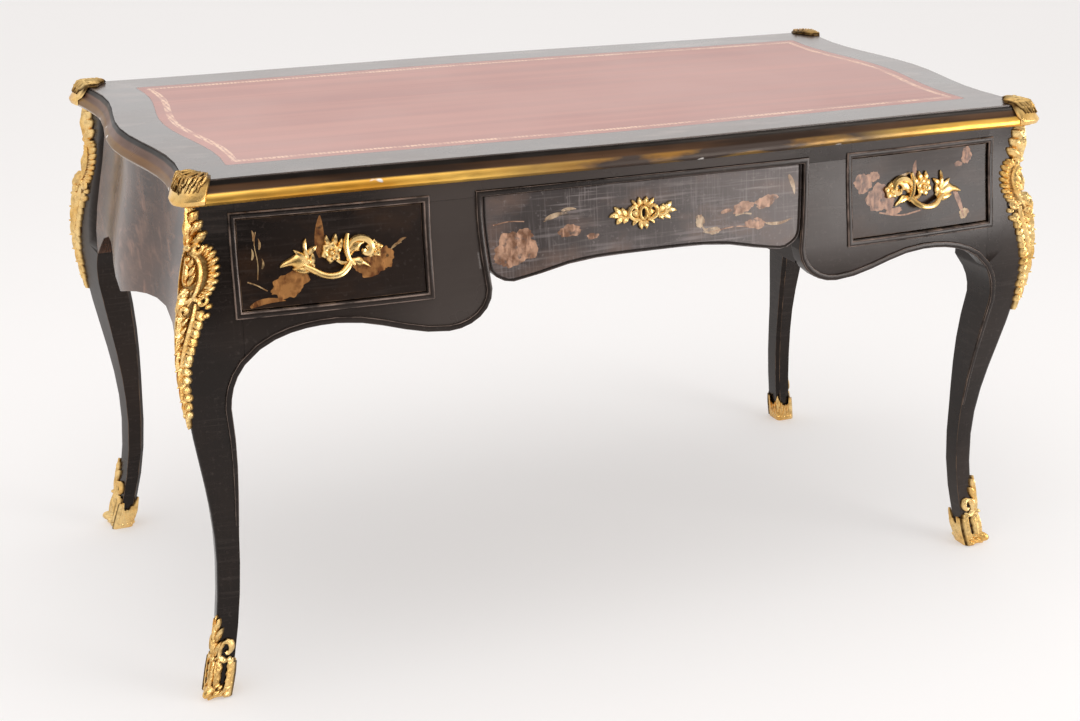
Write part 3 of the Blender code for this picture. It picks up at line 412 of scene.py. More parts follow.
def lacquer_ground(tree, ground, haze, scratches, crackle, stain=None, smear=None):
    """Colour and roughness of aged lacquer. A smear is a pale stretch along X, with its four stops."""
    cloud = clouds(tree, 4.0, 0.40, 0.66, detail=8.0)
    colour = blend(tree, cloud, ground, haze)
    pale = [min(c * 1.8 + 0.025, 1.0) for c in haze]
    patch = clouds(tree, 9.0, 0.36, 0.62, detail=6.0)
    if stain:
        mark = clouds(tree, 15.0, 0.50, 0.66, detail=9.0, stretch=(0.7, 1.0, 1.3))
        colour = blend(tree, mark, colour, stain, 0.75)
    for amount, stretch in ((scratches, SCRATCHED), (crackle, CRACKLED)):
        line = clouds(tree, 11.0, 0.52, 0.68, detail=9.0, stretch=stretch)
        colour = blend(tree, times(tree, line, patch), colour, pale, amount)
    if smear:
        tone, (rise, full, fade, end) = smear
        along = object_axis(tree, "X")
        reach = times(tree, remap(tree, along, rise, full), remap(tree, along, end, fade))
        colour = blend(tree, reach, colour, tone, 0.8)
    speck = clouds(tree, 170.0, 0.60, 0.74, detail=4.0)
    colour = blend(tree, speck, colour, pale, 0.4)
    return colour, remap(tree, cloud, 0.0, 1.0, 0.24, 0.37)


def finish_lacquer(tree, shader, colour, rough, coat=0.0, ior=LACQUER_IOR):
    feed(tree, shader, Base_Color=colour, Roughness=rough)
    set_constants(shader, IOR=ior, Specular_Tint=WARM_GLOSS, Coat_Weight=coat, Coat_Roughness=0.22)
    raise_bump(tree, shader, clouds(tree, 30.0, 0.25, 0.75, detail=8.0), 0.10)


def make_lacquer(name, layers, worn=RUBBED_BROWN, kept=0.36, **gloss):
    material, tree, shader = new_finish(name)
    colour, rough = lacquer_ground(tree, *layers)
    colour = blend(tree, rubbed_edges(tree, 38.0, kept), colour, worn)
    finish_lacquer(tree, shader, colour, rough, **gloss)
    return material


PALE_STRETCH = ((0.060, 0.047, 0.041), (-0.44, -0.34, 0.14, 0.26))
FRONT_GROUND = ((0.0050, 0.0030, 0.0022), (0.020, 0.0120, 0.0085), 0.30, 0.10, None, PALE_STRETCH)
DRAWER_GROUND = ((0.0050, 0.0028, 0.0020), (0.017, 0.0095, 0.0065), 0.45, 0.10, (0.034, 0.016, 0.008))
CENTRE_GROUND = ((0.050, 0.041, 0.039), (0.145, 0.122, 0.117), 0.75, 0.50, (0.150, 0.098, 0.078))
END_GROUND = ((0.030, 0.0120, 0.0064), (0.140, 0.065, 0.038), 0.30, 1.0, (0.175, 0.092, 0.058))
TOP_GROUND = ((0.045, 0.030, 0.024), (0.115, 0.080, 0.065), 0.55, 0.0, (0.080, 0.047, 0.033))
BEAD_GROUND = ((0.008, 0.0055, 0.0045), (0.030, 0.021, 0.017), 0.0, 0.0)
LACQUER = make_lacquer("black_lacquer", FRONT_GROUND)
DRAWER_LACQUER = make_lacquer("side_drawer_lacquer", DRAWER_GROUND, ior=DULL_IOR)
CENTRE_LACQUER = make_lacquer("centre_drawer_lacquer", CENTRE_GROUND)
END_LACQUER = make_lacquer("brown_lacquer", END_GROUND, coat=0.25)
TOP_LACQUER = make_lacquer("top_lacquer", TOP_GROUND, coat=0.95)
# On the beads the rubbed edges are a light grey: wear, and a painted highlight along each edge.
BEAD_LACQUER = make_lacquer("bead_lacquer", BEAD_GROUND, RUBBED_GREY_HIGHLIGHT, 0.30)
print("lacquers made")

# %% [markdown]
# ## Gilding on the top's edge
# The moulding round the top is gilt on its lower round, brown in its cove and black in its quirk.
# The gold is tarnished in streaks and rubbed through to dark ground along the middle of the front,
# and on the ends little of it is left, with a chalky line at the foot. Height on the moulding says
# which member a point belongs to, so the bands follow Z, and wear follows X.

# %% Gilt moulding
ROUND_BAND = (TABLE_HEIGHT - 0.0165, TABLE_HEIGHT - 0.0185)
QUIRK_BAND = (TABLE_HEIGHT - 0.0090, TABLE_HEIGHT - 0.0070)
FOOT_BAND = (TABLE_HEIGHT - 0.0270, TABLE_HEIGHT - 0.0300)
WORN_AT, WORN_REACH = 0.12, (0.22, 0.42)


def make_gilt_moulding(name, gold_share, cove_tones, bare, chalk):
    material, tree, shader = new_finish(name)
    height = object_axis(tree, "Z")
    streak = clouds(tree, 9.0, 0.40, 0.62, stretch=(0.4, 0.4, 6.0))
    cove = blend(tree, streak, *cove_tones)
    cove = blend(tree, remap(tree, height, *QUIRK_BAND), cove, (0.008, 0.006, 0.005))
    glint = clouds(tree, 14.0, 0.36, 0.64, detail=8.0, stretch=(0.35, 0.35, 2.5))
    gold = blend(tree, glint, (0.66, 0.300, 0.034), (0.98, 0.590, 0.130))
    tarnish = clouds(tree, 22.0, 0.52, 0.64, detail=9.0, stretch=(0.45, 0.45, 3.0))
    gold = blend(tree, tarnish, gold, (0.16, 0.070, 0.014), 0.32)
    from_middle = sums(tree, "ABSOLUTE", sums(tree, "SUBTRACT", object_axis(tree, "X"), WORN_AT), 0.0)
    patch = times(tree, clouds(tree, 7.0, 0.44, 0.56, stretch=(1, 1, 4)), 0.45)
    left = times(tree, sums(tree, "MAXIMUM", remap(tree, from_middle, *WORN_REACH), patch), gold_share)
    lower = blend(tree, left, bare, gold)
    lower = blend(tree, remap(tree, height, *FOOT_BAND, 0.0, chalk), lower, (0.72, 0.66, 0.62))
    on_round = remap(tree, height, *ROUND_BAND)
    colour = blend(tree, on_round, cove, lower)
    chips = clouds(tree, 30.0, 0.735, 0.745, detail=1.0)
    colour = blend(tree, times(tree, chips, on_round), colour, (0.80, 0.76, 0.72))
    rough = remap(tree, clouds(tree, 20.0, 0.3, 0.7), 0.0, 1.0, 0.26, 0.44)
    feed(tree, shader, Base_Color=colour, Metallic=times(tree, left, on_round, 0.75), Roughness=rough)
    set_constants(shader, IOR=1.32, Specular_Tint=rgb(1.0, 0.86, 0.76))
    raise_bump(tree, shader, clouds(tree, 60.0, 0.3, 0.7, stretch=(0.3, 0.3, 2.0)), 0.10)
    return material


DARK_COVE = ((0.026, 0.012, 0.006), (0.085, 0.040, 0.018))
BROWN_COVE = ((0.050, 0.022, 0.012), (0.170, 0.090, 0.062))
GILT_FRONT = make_gilt_moulding("gilt_front_moulding", 1.0, DARK_COVE, (0.060, 0.043, 0.036), 0.0)
GILT_END = make_gilt_moulding("gilt_end_moulding", 0.16, BROWN_COVE, (0.105, 0.055, 0.034), 0.85)
print("gilding made")

# %% [markdown]
# ## Writing leather
# The leather has faded to a dusty rose, streaked along the table, and a line of gold tooling runs
# about a thumb's breadth inside its edge. The tooling is its own strip of faces, made by insetting
# the top face twice, so it needs no picture: a fine cell pattern breaks the gold into stamped flowers.


# %% Leather finishes
def make_leather(name, deep, faded, tooled=False):
    material, tree, shader = new_finish(name)
    streak = clouds(tree, 5.0, 0.36, 0.66, detail=8.0, stretch=(0.22, 6.0, 1.0))
    colour = blend(tree, streak, deep, faded)
    colour = blend(tree, clouds(tree, 3.2, 0.35, 0.66, detail=6.0), colour, (0.60, 0.37, 0.33), 0.35)
    line = clouds(tree, 13.0, 0.60, 0.70, detail=3.0, stretch=(0.05, 7.0, 1.0))
    colour = blend(tree, line, colour, (0.33, 0.15, 0.13), 0.35)
    where = object_place(tree)
    pores = place(tree, "ShaderNodeTexVoronoi", {"Vector": where, "Scale": 520.0})
    height = times(tree, pores.outputs["Distance"], 0.5)
    if tooled:
        stamp = place(tree, "ShaderNodeTexVoronoi", {"Vector": where, "Scale": 165.0, "Randomness": 0.25})
        flower = remap(tree, stamp.outputs["Distance"], 0.52, 0.36)
        kept = clouds(tree, 22.0, 0.30, 0.52)
        colour = blend(tree, times(tree, flower, kept), colour, (0.86, 0.60, 0.44))
        height = sums(tree, "SUBTRACT", height, flower)
    feed(tree, shader, Base_Color=colour, Roughness=remap(tree, streak, 0.0, 1.0, 0.40, 0.55))
    set_constants(shader, IOR=1.48, Sheen_Weight=0.12, Sheen_Roughness=0.5)
    raise_bump(tree, shader, height, 0.16, 0.0006)
    return material


ROSE_LEATHER = make_leather("rose_leather", (0.40, 0.185, 0.160), (0.52, 0.275, 0.240))
TOOLED_LEATHER = make_leather("tooled_leather", (0.44, 0.210, 0.180), (0.55, 0.295, 0.255), tooled=True)
print("leathers made")

# %% [markdown]
# ## Gilt bronze, painted gold, oak and steel
# The mounts are cast, gilt and burnished: bright where they stand proud and brown in the hollows,
# as patina with painted shade. Each casting carries a point attribute, relief, that says how high
# it stands, and the finish reads it.
# The painted gold on the drawers is thin, flecked and rubbed, so much of it lets the black through.


# %% Bronze and painted gold
def make_gilt_bronze(name, grimy, chasing):
    material, tree, shader = new_finish(name)
    gold = blend(tree, clouds(tree, 26.0, 0.35, 0.65), (0.82, 0.49, 0.150), (0.96, 0.69, 0.31))
    # Low relief is painted dark brown: patina in the hollows, and painted shade in the recesses and under
    # the ribs.
    hollow = remap(tree, attribute(tree, "relief"), 0.30, 0.08)
    grime = clouds(tree, 120.0, 0.46, 0.62, detail=6.0)
    grime_and_shade = times(tree, hollow, remap(tree, grime, 0.0, 1.0, 0.86, 1.0))
    grime_and_shade = sums(tree, "MAXIMUM", grime_and_shade, times(tree, grime, grimy))
    colour = blend(tree, grime_and_shade, gold, (0.050, 0.020, 0.005))
    feed(tree, shader, Base_Color=colour, Roughness=remap(tree, grime_and_shade, 0.0, 1.0, 0.26, 0.55))
    set_constants(shader, Metallic=1.0)
    raise_bump(tree, shader, clouds(tree, 210.0, 0.30, 0.70, detail=5.0), chasing, 0.0012)
    return material


def make_painted_gold(name, ground, deep, bright, kept):
    """Thin gold paint, worn through in specks and ragged at its rim, over the drawer's lacquer."""
    material, tree, shader = new_finish(name)
    colour, rough = lacquer_ground(tree, *ground)
    ragged = times(tree, clouds(tree, 75.0, 0.30, 0.70, detail=7.0), 0.9)
    ragged = sums(tree, "ADD", ragged, attribute(tree, "relief"))
    speck = clouds(tree, 120.0, kept + 0.13, kept, detail=8.0)
    left = times(tree, remap(tree, ragged, 0.55, 1.05), remap(tree, speck, 0.0, 1.0, 0.2, 0.95))
    gold = blend(tree, clouds(tree, 66.0, 0.40, 0.60, detail=8.0), deep, bright)
    fleck = clouds(tree, 90.0, 0.52, 0.64, detail=6.0, stretch=(1.8, 1.0, 0.6))
    gold = blend(tree, fleck, gold, [min(c * 1.5, 1.0) for c in bright], 0.6)
    finish_lacquer(tree, shader, blend(tree, left, colour, gold), rough)
    return material


GILT_BRONZE = make_gilt_bronze("gilt_bronze", 0.26, 0.50)
BURNISHED_BRONZE = make_gilt_bronze("burnished_bronze", 0.15, 0.10)
PAINTS = {
    "painted_brown": (DRAWER_GROUND, (0.15, 0.050, 0.013), (0.40, 0.180, 0.055), 0.60),
    "painted_buff": (DRAWER_GROUND, (0.26, 0.130, 0.050), (0.50, 0.340, 0.170), 0.56),
    "painted_rose": (DRAWER_GROUND, (0.14, 0.058, 0.030), (0.36, 0.180, 0.100), 0.56),
    "worn_rose": (CENTRE_GROUND, (0.19, 0.090, 0.050), (0.50, 0.290, 0.190), 0.56),
    "worn_buff": (CENTRE_GROUND, (0.28, 0.165, 0.090), (0.52, 0.380, 0.250), 0.54),
}
PAINTED = {name: make_painted_gold(name, *layers) for name, layers in PAINTS.items()}
print("bronzes made, and painted golds", len(PAINTED))


# %% Oak and steel
def make_oak(name, light, dark):
    material, tree, shader = new_finish(name)
    grain = clouds(tree, 16.0, 0.36, 0.64, detail=9.0, stretch=(5.0, 0.45, 5.0))
    pore = clouds(tree, 60.0, 0.58, 0.66, detail=4.0, stretch=(4.0, 0.2, 4.0))
    colour = blend(tree, pore, blend(tree, grain, light, dark), (0.09, 0.05, 0.025), 0.6)
    feed(tree, shader, Base_Color=colour, Roughness=remap(tree, grain, 0.0, 1.0, 0.55, 0.75))
    raise_bump(tree, shader, pore, 0.2)
    return material


def make_steel(name):
    material, tree, shader = new_finish(name)
    rub = clouds(tree, 40.0, 0.35, 0.65, detail=6.0, stretch=(6.0, 1.0, 0.6))
    colour = blend(tree, rub, (0.30, 0.285, 0.27), (0.50, 0.49, 0.48))
    colour = blend(tree, clouds(tree, 55.0, 0.60, 0.70), colour, (0.16, 0.075, 0.035))
    feed(tree, shader, Base_Color=colour, Roughness=remap(tree, rub, 0.0, 1.0, 0.32, 0.52))
    set_constants(shader, Metallic=1.0)
    return material


OAK = make_oak("drawer_oak", (0.34, 0.205, 0.105), (0.21, 0.115, 0.055))
STEEL = make_steel("lock_steel")
print("materials", len(bpy.data.materials))

# %% [markdown]
# ## Wooden pieces with softened edges
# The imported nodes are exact, but their edges are knife sharp. A copy of each outer piece is merged,
# its triangles are joined back to quads, and its sharp edges get a small bevel, except at the joints
# of the carcase, because the lacquer runs on over those. The bevel's faces carry a face attribute,
# worn, which the lacquer reads to rub the edges brown.

# %% Softened copies
SHARP_ANGLE = math.radians(38)
SOFT_EDGE, LEG_EDGE, BEAD_EDGE = 0.0011, 0.0018, 0.0012
JOINT_REACH = 0.0025
WELD = 1e-5
CARCASE = ("leg_front", "leg_back", "front_apron", "front_top_rail", "side_panel", "back_panel")
FRONTS = ("drawer_left_front", "drawer_centre_front", "drawer_right_front")


def add_piece(name, bm, materials, body, slot, *replaced):
    """Finishes a bmesh as a piece that rides on a body and stands for CAD nodes."""
    item = link_mesh(name, bm)
    for material in materials:
        item.data.materials.append(material)
    item.data.shade_smooth()
    item.data.set_sharp_from_angle(angle=SHARP_ANGLE)
    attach(item, body)
    if replaced:
        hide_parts(*replaced)
    return item


def merged_copy(node, flat=False):
    bm = bmesh.new()
    bm.from_mesh(nodes[node].data)
    bmesh.ops.remove_doubles(bm, verts=bm.verts, dist=WELD)
    if flat:
        bmesh.ops.dissolve_limit(bm, angle_limit=math.radians(0.5), verts=bm.verts, edges=bm.edges)
    else:
        bmesh.ops.join_triangles(
            bm, faces=bm.faces,
            angle_face_threshold=math.radians(12), angle_shape_threshold=math.radians(50),
        )
    for layer in list(bm.loops.layers.uv):
        bm.loops.layers.uv.remove(layer)
    for face in bm.faces:
        face.material_index = 0
    return bm


def neighbours(node):
    """Surfaces of the other carcase pieces. The lacquer runs on over the joints with them."""
    trees = []
    for other in nodes:
        if other != node and other.startswith(CARCASE + FRONTS) and node.startswith(CARCASE):
            bm = bmesh.new()
            bm.from_mesh(nodes[other].data)
            trees.append(BVHTree.FromBMesh(bm))
            bm.free()
    return trees


def at_joint(edge, trees):
    middle = (edge.verts[0].co + edge.verts[1].co) / 2
    return any(tree.find_nearest(middle, JOINT_REACH)[0] is not None for tree in trees)


def soften(bm, offset, trees=()):
    worn = bm.faces.layers.float.new("worn")
    sharp = [e for e in bm.edges if len(e.link_faces) == 2 and e.calc_face_angle() > SHARP_ANGLE]
    sharp = [e for e in sharp if not at_joint(e, trees)]
    made = bmesh.ops.bevel(
        bm, geom=sharp, offset=offset, segments=2, profile=0.5,
        affect="EDGES", material=-1, clamp_overlap=True,
    )
    for face in made["faces"]:
        face[worn] = 1.0


def body_of(node):
    return nodes[node]["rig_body"]


def soften_node(node, material, slot, offset, flat):
    bm = merged_copy(node, flat)
    if offset:
        soften(bm, offset, neighbours(node))
    item = add_piece(f"finished_{node}", bm, [material], body_of(node), slot, node)
    weighted = item.modifiers.new("weighted normals", "WEIGHTED_NORMAL")
    weighted.keep_sharp = True
    return item


print("softening tools ready")

# %% Softened pieces
SOFTENED = (
    (("leg_front", "leg_back"), LACQUER, "black_lacquer", LEG_EDGE),
    (("front_apron", "front_top_rail", "back_panel"), LACQUER, "black_lacquer", SOFT_EDGE),
    (("side_panel",), END_LACQUER, "black_lacquer", SOFT_EDGE),
    (("drawer_centre_front",), CENTRE_LACQUER, "black_lacquer", SOFT_EDGE),
    (("drawer_left_front", "drawer_right_front"), DRAWER_LACQUER, "black_lacquer", SOFT_EDGE),
    (("drawer_bead", "front_edge_bead"), BEAD_LACQUER, "black_lacquer", BEAD_EDGE),
    (("top_board",), TOP_LACQUER, "black_lacquer", 0),
    (("edge_moulding_front", "edge_moulding_back"), GILT_FRONT, "gilt_wood", 0),
    (("edge_moulding_left", "edge_moulding_right"), GILT_END, "gilt_wood", 0),
)
for node in sorted(nodes):
    for starts, finish, slot, offset in SOFTENED:
        if node.startswith(starts):
            soften_node(node, finish, slot, offset, flat=node == "top_board")


# %% Pieces that stay as they are
def dress(node, material):
    """Gives a CAD node that stays in view its finish."""
    mesh = nodes[node].data
    mesh.materials.clear()
    mesh.materials.append(material)


OAK_ENDS = ("_back", "_bottom", "side_left", "side_right", "runner_left", "runner_right")
for node in sorted(nodes):
    if node.startswith("lock_"):
        dress(node, STEEL)
    elif node.startswith("kneehole_wall"):
        dress(node, LACQUER)
    elif node.startswith("drawer") and node.endswith(OAK_ENDS):
        dress(node, OAK)
print("dressed in oak", len([n for n in nodes.values() if n.data.materials[:] == [OAK]]))

# %% [markdown]
# ## The leather itself
# The leather could stay as its node, but its tooled line needs faces of its own. The merged copy's
# top face is inset to the line and again by the line's width. A wide inset would cross itself in
# the small round corners, so each is a hair wide and the face is then scaled in, length and depth
# by the same distance. The strip between the two gets the tooled finish.

# %% Leather
TOOLING_INSET, TOOLING_WIDTH = 0.013, 0.0095
HAIR = 1e-4


def build_leather():
    bm = merged_copy("leather_inset", flat=True)
    top = max(bm.faces, key=lambda f: f.calc_center_median().z * f.calc_area())
    half = [max(abs(v.co[axis]) for v in top.verts) for axis in (0, 1)]
    for width in (TOOLING_INSET, TOOLING_WIDTH):
        band = bmesh.ops.inset_region(bm, faces=[top], thickness=HAIR)["faces"]
        bmesh.ops.scale(bm, vec=(1 - width / half[0], 1 - width / half[1], 1), verts=top.verts)
    for face in band:
        face.material_index = 1
    finishes = [ROSE_LEATHER, TOOLED_LEATHER]
    return add_piece("finished_leather_inset", bm, finishes, "carcase", "rose_leather", "leather_inset")


leather = build_leather()
print("leather faces", len(leather.data.polygons))

# %% [markdown]
# ## Cast ornament
# Every mount is built flat first, in millimetres across, along and off its seat, from three kinds
# of element: leaves, round ribs that curl, and bosses. A leaf starts as a grid, a rib as a circle
# that is extruded along a smooth path, a boss as a sphere. The flat casting is then bent over the
# leg or the drawer by moving each point onto that surface, and its height is kept as an attribute.

# %% Leaves
FULL_RELIEF = 0.012
SINK = 0.4 * MM
LEAST_RISE = 0.3
SMALL = {"vein": 0.5, "steps": 7, "across": 5}
FINE = {"steps": 8, "across": 4}


def new_casting():
    bm = bmesh.new()
    bm.verts.layers.float.new("relief")
    bm.verts.layers.float.new("angle")
    return bm


def bezier(a, b, c, s):
    return [(1 - s) ** 2 * p + 2 * s * (1 - s) * q + s * s * r for p, q, r in zip(a, b, c)]


def close_below(bm, faces):
    """Turns an open relief into a solid by extruding it down into its seat."""
    made = bmesh.ops.extrude_face_region(bm, geom=faces, use_keep_orig=True)
    for item in made["geom"]:
        if isinstance(item, bmesh.types.BMVert):
            item.co.z = -SINK


def add_plate(bm, long, cross, shape):
    """A grid, shaped by a function of its share along, 0 to 1, and its share across, -1 to 1."""
    made = bmesh.ops.create_grid(bm, x_segments=long, y_segments=cross, size=0.5)
    faces = list({face for v in made["verts"] for face in v.link_faces})
    for v in made["verts"]:
        v.co = [c * MM for c in shape(v.co.x + 0.5, v.co.y * 2)]
    close_below(bm, faces)


def add_leaf(bm, base, bend, tip, width, height, lobes=0, vein=0.30, curl=0.0, steps=10, across=6):
    def shape(s, t):
        u, w = bezier(base, bend, tip, s)
        ahead = bezier(base, bend, tip, min(s + 0.02, 1.0))
        behind = bezier(base, bend, tip, max(s - 0.02, 0.0))
        run = (ahead[0] - behind[0], ahead[1] - behind[1])
        notch = (0.5 - 0.5 * math.cos(math.tau * lobes * s)) if lobes else 0.0
        half = width * (s + 0.03) ** 0.5 * (1.02 - s) ** 0.8 / 0.45 * (1 - 0.34 * notch)
        side = half * t / math.hypot(*run)
        rise = height * (0.40 + 0.60 * math.sin(math.pi * (0.12 + 0.80 * s))) * (1 - 0.55 * t * t)
        rise -= vein * height * math.exp(-((t / 0.20) ** 2)) * (1 - s)
        rise += curl * s**3 - 0.22 * height * notch * abs(t)
        return u - run[1] * side, w + run[0] * side, max(rise, LEAST_RISE)

    add_plate(bm, steps, across, shape)


print("leaf tools ready")


# %% Ribs and bosses
def smooth_path(points, steps=4):
    """A smooth curve through the points."""
    first = [2 * a - b for a, b in zip(points[0], points[1])]
    last = [2 * a - b for a, b in zip(points[-1], points[-2])]
    knots = [first, *points, last]
    path = []
    for a, b, c, d in zip(knots, knots[1:], knots[2:], knots[3:]):
        for k in range(steps):
            t = k / steps
            path.append([
                q + ((r - p) * t + (2 * p - 5 * q + 4 * r - w) * t**2 + (3 * q - p - 3 * r + w) * t**3) / 2
                for p, q, r, w in zip(a, b, c, d)
            ])
    return path + [list(points[-1])]


def add_rib(bm, points, sides=8, steps=4):
    """A round rib through (across, along, radius, height of its middle) points."""
    angle = bm.verts.layers.float["angle"]
    path = smooth_path(points, steps)
    made = bmesh.ops.create_circle(bm, cap_ends=True, segments=sides, radius=1)
    ring = made["verts"]
    for v in ring:
        v[angle] = math.atan2(v.co.y, v.co.x)
    edges = list({e for v in ring for e in v.link_edges})
    for k, (u, w, radius, middle) in enumerate(path):
        if k:
            grown = bmesh.ops.extrude_edge_only(bm, edges=edges)["geom"]
            ring = [g for g in grown if isinstance(g, bmesh.types.BMVert)]
            kept = set(ring)
            edges = [g for g in grown if isinstance(g, bmesh.types.BMEdge) and kept.issuperset(g.verts)]
        before, after = path[max(k - 1, 0)], path[min(k + 1, len(path) - 1)]
        run = (after[0] - before[0], after[1] - before[1])
        size = math.hypot(*run)
        for v in ring:
            side = radius * math.cos(v[angle]) / size
            high = middle + radius * math.sin(v[angle])
            v.co = [c * MM for c in (u - run[1] * side, w + run[0] * side, high)]
    bmesh.ops.contextual_create(bm, geom=edges)


def rib_along(bm, path, radius, height, thin=0.55):
    """A rib whose radius tapers at both ends, through plain (across, along) points."""
    last = len(path) - 1
    points = []
    for k, (u, w) in enumerate(path):
        swell = mix(thin, 1.0, math.sin(math.pi * k / last))
        points.append((u, w, radius * swell, height * mix(0.7, 1.0, swell) - radius * swell))
    add_rib(bm, points)


def volute(centre, radius, start, turns, inner=0.35, count=9):
    path = []
    for k in range(count + 1):
        t = k / count
        a = start + math.tau * turns * t
        r = radius * mix(1.0, inner, t)
        path.append((centre[0] + r * math.cos(a), centre[1] + r * math.sin(a)))
    return path


def add_boss(bm, u, w, radius, height):
    made = bmesh.ops.create_uvsphere(bm, u_segments=10, v_segments=8, radius=1)
    bmesh.ops.scale(bm, vec=(radius * MM, radius * MM, height * MM), verts=made["verts"])
    bmesh.ops.translate(bm, vec=(u * MM, w * MM, 0), verts=made["verts"])
    for v in made["verts"]:
        v.co.z = max(v.co.z, -SINK)


print("rib tools ready")


# %% Bending over a seat
def mirror_casting(bm):
    geometry = bm.verts[:] + bm.edges[:] + bm.faces[:]
    bmesh.ops.mirror(bm, geom=geometry, axis="X", merge_dist=1e-7)


def read_line(line, at):
    """The value at a place on a broken line of (place, value) points."""
    for (a, first), (b, second) in zip(line, line[1:]):
        if at <= b:
            return mix(first, second, (at - a) / (b - a))
    return line[-1][1]


def bend_casting(name, bm, seat, body, *replaced, full=FULL_RELIEF, finish=GILT_BRONZE):
    """Moves a flat casting onto its seat and adds it as a gilt-bronze piece."""
    relief = bm.verts.layers.float["relief"]
    for v in bm.verts:
        # Points below the seat, under the ribs, get relief under zero, which the bronze finish paints dark
        # as shade.
        v[relief] = v.co.z / full
        v.co = seat(*v.co)
    bmesh.ops.recalc_face_normals(bm, faces=bm.faces)
    return add_piece(name, bm, [finish], body, "gilt_bronze", *replaced)


print("casting tools ready")

# %% [markdown]
# ## Leg mounts
# Each corner wears a tall casting: a bold acanthus leaf at the top, a shell-edged cartouche round
# a hollow field, a knot, and a chain of husks that tapers down the knee. It is symmetrical about
# the corner, so one wing is built and mirrored before the pieces on the corner are added.

# %% Leg mounts, wings
MOUNT_TOP = 0.7297
MOUNT_BEND = 0.0076
SCALLOPS = 10


def build_crown(bm):
    """One side of the acanthus above the cartouche; the second number runs down the leg."""
    for base, bend, tip, width in (
        ((1, 22), (5, 13), (8, 3), 6.5),
        ((2, 34), (9, 29), (13, 17), 7.5),
        ((3, 47), (13, 45), (19, 32), 8),
    ):
        add_leaf(bm, base, bend, tip, width, 12, lobes=1, vein=0.5, curl=2)
        add_boss(bm, tip[0] - 1, tip[1] + 2, width * 0.5, 11)
    rib_along(bm, volute((15, 53), 6.8, -0.6, 0.95, inner=0.62), 2.7, 8)


def build_shell(bm):
    """One side of the cartouche: a ridge, a scalloped shell outside it, leaves in its field."""
    rim = smooth_path([(21, 52), (30, 57), (37, 70), (40, 85), (39.5, 99), (35, 111), (29, 117)], 6)
    bed = smooth_path([(16, 60), (24, 66), (28, 77), (29.5, 88), (28.5, 99), (25, 109), (20, 116)], 6)
    for k in range(SCALLOPS):
        place_on = round(k * (len(rim) - 1) / (SCALLOPS - 1))
        outer, inner = rim[place_on], bed[place_on]
        middle = [mix(a, b, 0.5) for a, b in zip(inner, outer)]
        tip = [mix(a, b, 1.25) for a, b in zip(inner, outer)]
        add_leaf(bm, inner, middle, tip, 5.2, 8, vein=0.55, steps=8, across=6)
        add_boss(bm, *outer, 3.7, 7.6)
    rib_along(bm, [(10, 59), (18, 66), (23, 78), (24.5, 91), (22, 105), (17, 117), (12, 126)], 2.5, 10)
    for base, bend, tip in (
        ((3, 101), (10, 95), (15, 84)),
        ((4, 88), (10, 83), (14, 73)),
        ((3, 77), (7, 72), (10, 64)),
    ):
        add_leaf(bm, base, bend, tip, 4.6, 7, vein=0.5, curl=1.5, steps=8, across=5)
        add_boss(bm, tip[0] - 0.5, tip[1] + 1.5, 2.4, 7)
    for u, v, radius, height in ((5, 109, 4.2, 8), (13, 110, 4.0, 7), (17, 98, 2.8, 6)):
        add_boss(bm, u, v, radius, height)


def build_wing(bm):
    """One side of the mount."""
    build_crown(bm)
    build_shell(bm)
    rib_along(bm, [(24, 121), (17, 117), (10, 121), (3, 117)], 3.2, 10)
    rib_along(bm, volute((9, 133), 6.2, 1.6, 0.95, inner=0.5), 2.9, 12)
    rib_along(bm, volute((29, 122), 6.0, -1.2, 0.95, inner=0.6), 2.6, 7.5)
    add_boss(bm, 35, 131, 4.0, 6.5)
    add_boss(bm, 33, 143, 4.2, 6.5)
    rib_along(bm, [(21, 124), (20, 142), (15.5, 164), (10, 186), (5, 206)], 2.8, 9.5)
    for k in range(6):
        v = 141 + 11.5 * k
        root, reach = mix(19, 7, k / 5), mix(10, 7, k / 5)
        bend, tip = (root + reach * 0.7, v), (root + reach, v + 8)
        add_leaf(bm, (root, v - 5), bend, tip, 5.2, 7, curl=1.5, **SMALL)
        add_boss(bm, root + reach - 1, v + 6, 3.0, 6.5)
        bend, tip = (mix(7, 4, k / 5), v + 9), (mix(13, 6, k / 5), v)
        add_leaf(bm, (2, v + 12), bend, tip, 4.2, 9, **SMALL)
    for v, reach in ((207, 14), (219, 13), (231, 11.5), (246, 9), (257, 10.5), (271, 8), (284, 6)):
        bend, tip = (reach * 0.7, v), (reach, v + 4)
        add_leaf(bm, (1.5, v - 8), bend, tip, 4.6, 8, curl=1, **SMALL)
        add_boss(bm, reach - 2, v + 2, 2.6, 6.5)


print("wing planned")

# %% Leg mounts, plate and spine
PLATE_LENGTH = 300
PLATE_LINE = (
    (0, 5), (20, 10), (34, 15), (46, 9), (55, 9), (61, 24), (74, 34), (88, 37), (102, 35), (113, 27),
    (118, 20), (128, 21), (148, 24), (166, 20), (186, 15), (202, 10), (226, 9), (262, 7), (300, 2.5),
)


